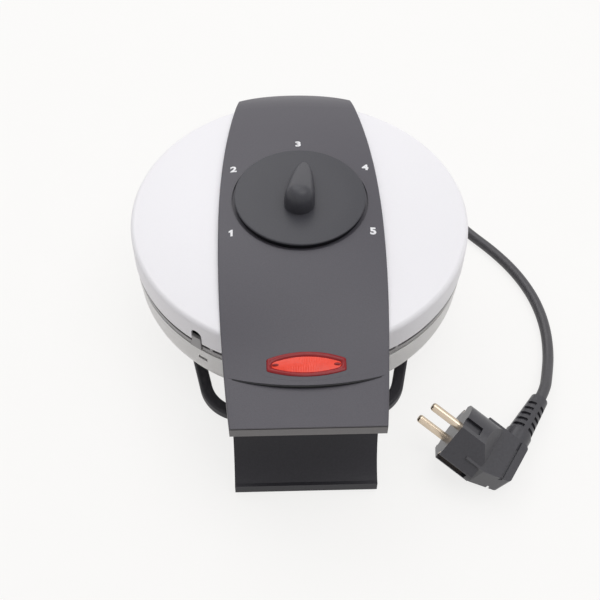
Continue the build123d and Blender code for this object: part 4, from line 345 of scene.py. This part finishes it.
# Dial: a flat disc with a raised pointer, moulded in anthracite and lacquered satin on
# top, with painted shade in near black at its edge and below, pressed on the thermostat's
# spindle.
DIAL_TOP = 93.9
# The half section from the middle of the top: radius, and height from the disc's top
DIAL_SECTION = (
    [(0.02, 0.0), (12, 0.0), (25, 0.0), (37.5, 0.0), (38.0, -0.1), (38.3, -0.35), (38.4, -0.7)]
    + [(38.4, -1.1), (37.9, -1.3), (37.6, -4.3), (35.4, -4.4), (35.4, -2.2)]
    + [(6.8, -2.2), (6.8, -5.3), (3.1, -5.3), (3.1, 6.2), (0.02, 6.2)]
)
# The painted shade starts at this point of the section, at the foot of the rounded edge; the
# lacquer covers the faces before it
PAINTED_SHADE_START = 7
DISC_STEPS = 128
# Points of the dial nearer than this, in metres, become one
DIAL_MERGE = 0.00003
# Edges that turn by more than this many degrees stay sharp
SHARP_EDGE = 40


def dial_disc():
    """The disc's rings: its half section turned round the axis, as rows of a grid.

    The section runs from the middle of the top out to the rounded edge, down to the undercut
    skirt, back under the web, down the boss and up its bore. Each row is one circle.
    """
    section = np.array(DIAL_SECTION)
    turn = np.linspace(0, 2 * math.pi, DISC_STEPS, endpoint=False)[None, :]
    radius, height = section[:, 0][:, None], section[:, 1][:, None]
    return np.stack([radius * np.cos(turn), radius * np.sin(turn), height + 0 * turn], -1)


def there_and_back(values):
    """A row of values from nose to tip, then back along the other side without the two ends."""
    return np.concatenate([values, values[-2:0:-1]])


def dial_pointer():
    """The pointer's rings: its plan outline shrunk to the spine as it rises.

    Along the axis s runs from the nose. The half width is a quarter circle of 8.9 mm, then it
    tapers to a half and is rounded off by (1 - share ** 6) ** 0.5 to the tip at 41.4 mm. A ring
    at the share v of the height is shrunk to (1 - v ** 3) ** (1 / 3), and the height falls
    almost evenly from 14.2 mm over the nose's centre to 2.2 mm at the tip.
    """
    nose, length, high, low = 8.9, 41.4, 14.2, 2.2
    centre_x, centre_y, sunk = -0.6, -6.8, 1.0
    lean = math.atan2(3.5, 27.5)
    nose_points, flank_points, rings = 13, 29, 22
    quarter = np.linspace(0, math.pi / 2, nose_points)
    share = np.linspace(0, 1, flank_points)[1:] ** 0.8
    along = np.concatenate([nose - nose * np.cos(quarter), nose + (length - nose) * share])
    taper = nose * (1 - 0.5 * share**1.3) * (1 - share**6) ** 0.5
    half = np.concatenate([nose * np.sin(quarter), taper])
    spine = np.maximum(along, nose)
    top = high + (low - high) * ((spine - nose) / (length - nose)) ** 1.08
    half = np.concatenate([half, -half[-2:0:-1]])
    along, spine, top = there_and_back(along), there_and_back(spine), there_and_back(top)
    # The first two rings close the underside inside the disc
    v = np.concatenate([[0.0, 0.0], np.sin(np.linspace(0, math.pi / 2, rings))])[:, None]
    shrink = (1 - np.minimum(v, 1.0) ** 3) ** (1 / 3)
    shrink[0] = 0.0
    rise = v * top[None, :]
    rise[:2] = -sunk
    s = spine[None, :] + (along - spine)[None, :] * shrink
    w = half[None, :] * shrink
    x = centre_x + (s - nose) * math.sin(lean) - w * math.cos(lean)
    y = centre_y + (s - nose) * math.cos(lean) + w * math.sin(lean)
    return np.stack([x, y, rise], -1)


def grid_faces(places, first=0, wrap_rows=False):
    """Quads between the rows of a grid of places, each row closed to a ring.

    Point c of row r has the number first + r * columns + c. With wrap_rows the last row also
    joins the first one.
    """
    rows, columns = places.shape[:2]
    r = np.arange(rows if wrap_rows else rows - 1)[:, None]
    c = np.arange(columns)[None, :]
    r2, c2 = (r + 1) % rows, (c + 1) % columns
    corners = [r * columns + c, r2 * columns + c, r2 * columns + c2, r * columns + c2]
    return (np.stack(corners, -1).reshape(-1, 4) + first).tolist()


def closed_piece(name, places, faces, smooth=True, sharp=None, merge=0.0, painted_shade_faces=None):
    """A piece from places in millimetres and faces, its open rings filled, its faces outwards.

    Points nearer to each other than merge, in metres, become one. An edge that turns by more
    than sharp, in degrees, isn't smoothed. The faces marked for painted shade get the second
    material.
    """
    mesh = bpy.data.meshes.new(name)
    mesh.from_pydata((places.reshape(-1, 3) * MM).tolist(), [], faces)
    if painted_shade_faces is not None:
        mesh.polygons.foreach_set("material_index", painted_shade_faces.astype(np.int32))
    form = bmesh.new()
    form.from_mesh(mesh)
    if merge:
        bmesh.ops.remove_doubles(form, verts=form.verts, dist=merge)
    bmesh.ops.holes_fill(form, edges=form.edges)
    bmesh.ops.recalc_face_normals(form, faces=form.faces)
    form.to_mesh(mesh)
    form.free()
    mesh.polygons.foreach_set("use_smooth", np.full(len(mesh.polygons), smooth))
    if sharp is not None:
        mesh.set_sharp_from_angle(angle=math.radians(sharp))
    return add_piece(name, mesh)


def build_dial():
    """The disc and the pointer in one mesh, the pointer's spine merged to a ridge."""
    disc, pointer = dial_disc(), dial_pointer()
    places = np.concatenate([disc.reshape(-1, 3), pointer.reshape(-1, 3)])
    disc_faces = grid_faces(disc)
    faces = disc_faces + grid_faces(pointer, first=disc.size // 3)
    number = np.arange(len(faces))
    # Faces from the foot of the rounded edge onwards get the near-black painted shade
    painted_shade_faces = (number >= PAINTED_SHADE_START * DISC_STEPS) & (number < len(disc_faces))
    piece = closed_piece(
        "browning_dial",
        places + (0, LID_Y, DIAL_TOP),
        faces,
        sharp=SHARP_EDGE,
        merge=DIAL_MERGE,
        painted_shade_faces=painted_shade_faces,
    )
    lacquer = moulded(
        "dial_lacquer",
        dark=(0.042, 0.042, 0.051),
        light=(0.062, 0.062, 0.072),
        roughness=0.40,
        grain=1300,
        depth=0.00005,
        specular=0.35,
    )
    # Near-black painted shade for the disc's edge, skirt and underside, where the disc's shadow
    # falls
    edge = moulded(
        "dial_painted_shade",
        dark=(0.006, 0.006, 0.008),
        light=(0.010, 0.010, 0.013),
        roughness=0.6,
        grain=900,
        depth=0.00005,
        specular=0.15,
    )
    piece.data.materials.append(lacquer)
    piece.data.materials.append(edge)
    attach(piece, "dial")
    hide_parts("dial_knob")


build_dial()


# Numbers 1 to 5 round the dial: a print of white ink that follows the crown of the band,
# 0.13 mm proud of it and let in by 0.07 mm. The 1 is drawn as a bar with a flag.
INK_PROUD, INK_SUNK = 0.13, 0.07
# Points of the figures nearer than this, in metres, become one
INK_MERGE = 0.000001
# The 1's corners from its middle
ONE_OUTLINE = (
    [(-0.35, -2.35), (1.0, -2.35), (1.0, 2.35), (0.05, 2.35)]
    + [(-1.35, 1.3), (-1.35, 0.3), (-0.35, 0.75)]
)
ONE_PLACE = (-40.1, -25.2)
FIGURE_PLACES = (("2", -39.1, 26.1), ("3", 0.4, 47.8), ("4", 40.2, 26.6), ("5", 41.0, -25.4))
FIGURE_SIZE, FIGURE_WIDEN, FIGURE_BOLD = 6.6, 1.15, 0.28


def crown_height(x, y):
    """The band's top at x, y from the lid's centre: one round crown, then the blend to the grip.

    The side profile is a circle of 413 mm up to 88 mm forward of the centre and one of
    211 mm, hollow side up, beyond it. The section across falls by x squared over 826 mm.
    """
    crown, blend, join, crest = 413.0, 211.0, 88.0, 92.3
    lean = math.asin(join / crown)
    behind = crest - crown + np.sqrt(crown**2 - y**2)
    join_z = crest - crown + math.sqrt(crown**2 - join**2)
    dip = np.sqrt(blend**2 - (y + join + blend * math.sin(lean)) ** 2)
    ahead = join_z + blend * math.cos(lean) - dip
    return np.where(y > -join, behind, ahead) - x**2 / (2 * crown)


def figure_one():
    """The 1: its outline in an upper and a lower copy, and a wall face for each of its sides."""
    flat = np.array(ONE_OUTLINE) + ONE_PLACE
    z = crown_height(flat[:, 0], flat[:, 1])
    low = np.stack([flat[:, 0], flat[:, 1], z - INK_SUNK], 1)
    high = np.stack([flat[:, 0], flat[:, 1], z + INK_PROUD], 1)
    sides = len(flat)
    caps = [list(range(sides))[::-1], list(range(sides, 2 * sides))]
    walls = [[i, (i + 1) % sides, (i + 1) % sides + sides, i + sides] for i in range(sides)]
    return np.concatenate([low, high]), caps + walls


def figure_of_text(figure, place_x, place_y):
    """A figure's outline filled and extruded by the text tool, widened and laid on the crown."""
    text = bpy.data.curves.new("figure", "FONT")
    text.body = figure
    text.size = FIGURE_SIZE
    text.align_x = "CENTER"
    text.align_y = "CENTER"
    text.offset = FIGURE_BOLD
    text.extrude = (INK_PROUD + INK_SUNK) / 2
    carrier = add_piece("figure", text)
    depsgraph = bpy.context.evaluated_depsgraph_get()
    mesh = bpy.data.meshes.new_from_object(carrier.evaluated_get(depsgraph))
    corners = np.empty(len(mesh.vertices) * 3)
    mesh.vertices.foreach_get("co", corners)
    corners = corners.reshape(-1, 3)
    x, y = FIGURE_WIDEN * corners[:, 0] + place_x, corners[:, 1] + place_y
    z = crown_height(x, y) + (INK_PROUD - INK_SUNK) / 2 + corners[:, 2]
    faces = [list(polygon.vertices) for polygon in mesh.polygons]
    bpy.data.objects.remove(carrier)
    bpy.data.meshes.remove(mesh)
    bpy.data.curves.remove(text)
    return np.stack([x, y, z], 1), faces


def build_numbers():
    """The five figures joined into one mesh, which rides on the lid."""
    places, faces, count = [], [], 0
    for corners, polygons in [figure_one()] + [figure_of_text(*row) for row in FIGURE_PLACES]:
        places.append(corners)
        faces += [[count + corner for corner in polygon] for polygon in polygons]
        count += len(corners)
    places = np.concatenate(places) + (0, LID_Y, 0)
    piece = closed_piece("dial_numbers", places, faces, smooth=False, merge=INK_MERGE)
    ink = moulded(
        "white_ink",
        dark=(0.80, 0.80, 0.82),
        light=(0.90, 0.90, 0.92),
        roughness=0.5,
        grain=2000,
        depth=0.00002,
    )
    piece.data.materials.append(ink)
    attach(piece, "lid")


build_numbers()


# Indicator lens: one clip-in moulding of clear red plastic, a rounded dark-red rim round
# a flatter window that is ribbed inside and orange, with a weak painted glow, and a catch at
# each end. It sits in a thin ring of the band's own colour.
LENS_Y, LENS_HALF, LENS_END, LENS_MID = -109.6, 21.2, 3.7, 7.5
LENS_STEPS = 160


def lens_outline(inset, turn):
    """The lens's outline shrunk by an inset, at turns of 0 to 1 round it.

    Two arcs from the middle to the cut ends and the two straight ends make a sharp outline. It is
    walked by its length, and the mean over 2 mm of the way rounds the four corners.
    """
    arc_points, end_share, near_half, near_points = 60, 0.8, 1, 9
    end_x, end_y, mid_y = LENS_HALF - inset, LENS_END - inset * end_share, LENS_MID - inset
    arc = (end_x**2 + (mid_y - end_y) ** 2) / (2 * (mid_y - end_y))
    along = np.linspace(-end_x, end_x, arc_points)
    half = mid_y - arc + np.sqrt(arc**2 - along**2)
    sharp_x = np.concatenate([along, -along, along[:1]])
    sharp_y = np.concatenate([-half, half, -half[:1]])
    walk = np.concatenate([[0], np.cumsum(np.hypot(np.diff(sharp_x), np.diff(sharp_y)))])
    spread = np.linspace(-near_half, near_half, near_points) / walk[-1]
    near = (np.asarray(turn)[..., None] + spread) % 1 * walk[-1]
    return np.interp(near, walk, sharp_x).mean(-1), np.interp(near, walk, sharp_y).mean(-1)


def lens_piece(name, x, y, height, sharp=None):
    """A closed grid over x, y from the lens's middle, at a height from the band's top."""
    z = crown_height(x, y + LENS_Y) + height
    places = np.stack([x, y + LENS_Y + LID_Y, z], -1)
    return closed_piece(name, places, grid_faces(places, wrap_rows=True), sharp=sharp)


def lens_ring(name, outer_inset, inner_inset, across, height, sharp=None):
    """A ring round the lens: a section carried along the outline.

    Its points lie at the shares across of the way from the outer outline to the inner one, and
    at a height from the band's top.
    """
    turn = np.linspace(0, 1, LENS_STEPS, endpoint=False)[:, None]
    outer = np.stack(lens_outline(outer_inset, turn), -1)
    inner = np.stack(lens_outline(inner_inset, turn), -1)
    flat = outer + (inner - outer) * np.array(across)[None, :, None]
    return lens_piece(name, flat[..., 0], flat[..., 1], np.array(height)[None, :], sharp)


def build_lens_bezel():
    """A flat ring from 2.4 mm outside the lens to its edge, flush with the band."""
    across = [0, 0, 0.5, 1, 1]
    height = [-0.8, 0.05, 0.05, 0.05, -0.8]
    return lens_ring("lens_bezel", -2.4, 0.1, across, height, SHARP_EDGE)


def build_lens_rim():
    """A wall with a rounded top, from 3 mm below the band's top to 0.6 mm above it."""
    across = [0, 0, 0, 0.08, 0.25, 0.45, 0.65, 0.85, 0.97, 1, 1]
    height = [-3, -1.2, 0.1, 0.4, 0.58, 0.6, 0.5, 0.2, -0.2, -0.6, -3]
    return lens_ring("lens_rim", 0.15, 3.0, across, height)


def build_lens_window():
    """A shallow dome inside the rim, in rings from its middle out, with ribs across and a floor.

    The height is 0.3 mm over the crown, less 0.45 mm times the square of the share of the way
    out, plus a rib of 0.08 mm every 1.3 mm along the lens. Past the edge the rings turn down to
    the floor 2 mm below the crown.
    """
    inset, middle, rings = 2.7, 0.02, 26
    dome, fall, rib, rib_step, floor = 0.30, 0.45, 0.08, 1.3, -2.0
    turn = np.linspace(0, 1, LENS_STEPS, endpoint=False)[None, :]
    out = np.concatenate([np.linspace(middle, 1, rings), [1.0, middle]])[:, None]
    x, y = lens_outline(inset, turn)
    x, y = x * out, y * out
    height = dome - fall * out**2 + rib * np.cos(2 * math.pi * x / rib_step)
    height[-2:] = floor
    return lens_piece("lens_window", x, y, height)


def clear_red(name, dark, light, glow):
    """Glossy red plastic: a faint cloud in its colour and a weak painted glow, emitted by the
    plastic itself.
    """
    plastic = moulded(name, dark, light, 0.15, grain=300, depth=0.00001, specular=0.3)
    shader = plastic.node_tree.nodes["Principled BSDF"]
    shader.inputs["Emission Color"].default_value = (*light, 1)
    shader.inputs["Emission Strength"].default_value = glow
    return plastic


def build_lens_catches():
    """Two flat dark studs in the window's ends: ellipsoids by latitude and longitude."""
    apart, long, wide, high = 16.4, 1.8, 0.75, 0.3
    rings, ring_points, pole = 9, 16, 0.02
    north = np.linspace(pole, math.pi - pole, rings)[:, None]
    east = np.linspace(0, 2 * math.pi, ring_points, endpoint=False)[None, :]
    places, faces = [], []
    for side in (-1, 1):
        x = side * apart + long * np.sin(north) * np.cos(east)
        y = wide * np.sin(north) * np.sin(east) + LENS_Y
        z = crown_height(x, y) + high + high * np.cos(north) + 0 * east
        stud = np.stack([x, y + LID_Y, z], -1)
        faces += grid_faces(stud, first=len(places) * x.size)
        places.append(stud.reshape(-1, 3))
    return closed_piece("lens_catches", np.concatenate(places), faces, smooth=False)


lens_bezel = build_lens_bezel()
lens_bezel.data.materials.append(band_lacquer)
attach(lens_bezel, "lid")
lens_rim = build_lens_rim()
rim_red = clear_red(
    "rim_red",
    dark=(0.22, 0.004, 0.008),
    light=(0.32, 0.006, 0.010),
    glow=0.0,
)
lens_rim.data.materials.append(rim_red)
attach(lens_rim, "lid")
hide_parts("lamp_lens")
lens_window = build_lens_window()
window_red = clear_red(
    "window_red",
    dark=(0.74, 0.050, 0.028),
    light=(0.88, 0.075, 0.040),
    # A weak painted glow, emitted by the window itself
    glow=0.10,
)
lens_window.data.materials.append(window_red)
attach(lens_window, "lid")
lens_catches = build_lens_catches()
catch_red = clear_red(
    "catch_red",
    dark=(0.20, 0.004, 0.006),
    light=(0.28, 0.006, 0.008),
    glow=0.0,
)
lens_catches.data.materials.append(catch_red)
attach(lens_catches, "lid")


# Painted shadow: a thin near-black strip along the foot of the curved step between the band's
# crown and the grip's flat top, which paints the dark shadow gap of the real moulding.
STEP_MIDDLE_Y, STEP_END_Y, STEP_END_X = -122.0, -115.5, 41.0
GRIP_TOP = 76.3


def build_painted_shadow_strip():
    """A low wall of painted shadow along the step's arc, through its middle and its two ends.

    Its section is a rectangle from 0.4 mm behind the step's face to 0.8 mm before it, from
    0.25 mm below the grip's top to 0.25 mm below the crown's edge. Where the crown sinks to the
    grip the wall stands 0.05 mm over the grip's top.
    """
    behind, before, under, least, short, steps = 0.4, 0.8, 0.25, 0.05, 0.3, 81
    drop = STEP_END_Y - STEP_MIDDLE_Y
    arc = (STEP_END_X**2 + drop**2) / (2 * drop)
    x = np.linspace(-STEP_END_X + short, STEP_END_X - short, steps)[:, None]
    y = STEP_MIDDLE_Y + arc - np.sqrt(arc**2 - x**2)
    forward = np.array([-behind, before, before, -behind])[None, :]
    high = np.maximum(crown_height(x, y) - under, GRIP_TOP + least)
    upper = np.array([0.0, 0.0, 1.0, 1.0])[None, :]
    z = (GRIP_TOP - under) * (1 - upper) + high * upper
    places = np.stack([x + 0 * forward, y - forward + LID_Y, z], -1)
    piece = closed_piece("painted_shadow_strip", places, grid_faces(places), sharp=SHARP_EDGE)
    # Near-black painted shadow for the gap under the step's edge
    painted_shadow_black = moulded(
        "painted_shadow_black",
        dark=(0.005, 0.005, 0.007),
        light=(0.009, 0.009, 0.011),
        roughness=0.7,
        grain=900,
        depth=0.00004,
    )
    piece.data.materials.append(painted_shadow_black)
    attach(piece, "lid")


build_painted_shadow_strip()


# Black mouldings: the lower handle, the bow that the cord winds round, the rear foot, the
# gland, the cord clamp and the lamp's holder, in a finely grained heat-proof plastic. The
# feet are soft rubber, pressed in.
black_plastic = moulded(
    "black_plastic",
    dark=(0.020, 0.019, 0.024),
    light=(0.033, 0.032, 0.038),
    roughness=0.5,
    grain=900,
    depth=0.00008,
    specular=0.3,
)
foot_rubber = moulded(
    "foot_rubber",
    dark=(0.012, 0.012, 0.012),
    light=(0.022, 0.022, 0.022),
    roughness=0.8,
    grain=700,
    depth=0.0001,
)
for node in ("lower_handle", "cord_bow", "rear_foot", "cord_gland", "cord_clamp", "lamp_holder"):
    dress(node, black_plastic)
dress("rubber_feet", foot_rubber)


# Plug and its boot: one soft black moulding round the cord's end, satin, with the
# pins and the earth clips in nickel-plated brass.
plug_plastic = moulded(
    "plug_plastic",
    dark=(0.034, 0.033, 0.040),
    light=(0.056, 0.055, 0.064),
    roughness=0.34,
    grain=700,
    depth=0.00005,
)
dress("plug_body", plug_plastic)
dress("plug_boot", plug_plastic)


def metal(name, dark, light, roughness, grain):
    """Bare or plated metal: two close colours and a bump in one cloudy noise."""
    plate = moulded(name, dark, light, roughness, grain, depth=0.00002)
    plate.node_tree.nodes["Principled BSDF"].inputs["Metallic"].default_value = 1.0
    return plate


nickel = metal("nickel_plate", (0.52, 0.43, 0.33), (0.70, 0.60, 0.48), roughness=0.22, grain=200)
dress("plug_pins", nickel)
dress("plug_earth_clips", nickel)


# Waffle plates: cast aluminium under a black non-stick coating, with five hearts
# and their studs, smooth and slightly glossy.
coating = moulded(
    "nonstick",
    dark=(0.022, 0.022, 0.024),
    light=(0.040, 0.040, 0.043),
    roughness=0.38,
    grain=1200,
    depth=0.00004,
)
for node in ("lower_plate", "lower_plate_studs", "upper_plate", "upper_plate_studs"):
    dress(node, coating)


# Inside: the heating rods in their oxidised sheaths, bright sheet reflectors and
# thermostat, zinc-plated brackets and screws, ceramic block and sleeved wires.
sheath = metal("rod_sheath", (0.22, 0.19, 0.17), (0.36, 0.33, 0.31), roughness=0.45, grain=60)
bright = metal("bright_sheet", (0.55, 0.55, 0.55), (0.72, 0.72, 0.71), roughness=0.28, grain=40)
zinc = metal("zinc_plate", (0.48, 0.48, 0.47), (0.64, 0.64, 0.62), roughness=0.35, grain=300)
sleeve = moulded(
    "wire_sleeve",
    dark=(0.58, 0.57, 0.53),
    light=(0.72, 0.71, 0.67),
    roughness=0.7,
    grain=900,
    depth=0.0001,
)
for node in ("lower_heater", "upper_heater"):
    dress(node, sheath)
for node in ("lower_reflector", "upper_reflector", "thermostat", "thermal_cutout"):
    dress(node, bright)
for node in (
    "lower_plate_screws",
    "lower_handle_screws",
    "bow_screws",
    "rear_foot_screws",
    "hinge_base_bracket",
    "hinge_lid_bracket",
    "hinge_pin",
    "hinge_clips",
    "base_bracket_screws",
    "lid_bracket_screws",
    "handle_cover_screws",
    "band_screws",
    "upper_plate_screws",
    "thermostat_strap",
    "thermostat_spindle",
    "dial_clip",
):
    dress(node, zinc)
ceramic = moulded(
    "ceramic",
    dark=(0.74, 0.73, 0.69),
    light=(0.82, 0.81, 0.77),
    roughness=0.3,
    grain=400,
    depth=0.00003,
)
dress("terminal_block", ceramic)
glow_lamp = moulded(
    "glow_lamp",
    dark=(0.80, 0.35, 0.22),
    light=(0.90, 0.50, 0.35),
    roughness=0.2,
    grain=300,
    depth=0.00001,
)
dress("lamp", glow_lamp)
for node in ("base_wiring", "lid_wiring"):
    dress(node, sleeve)
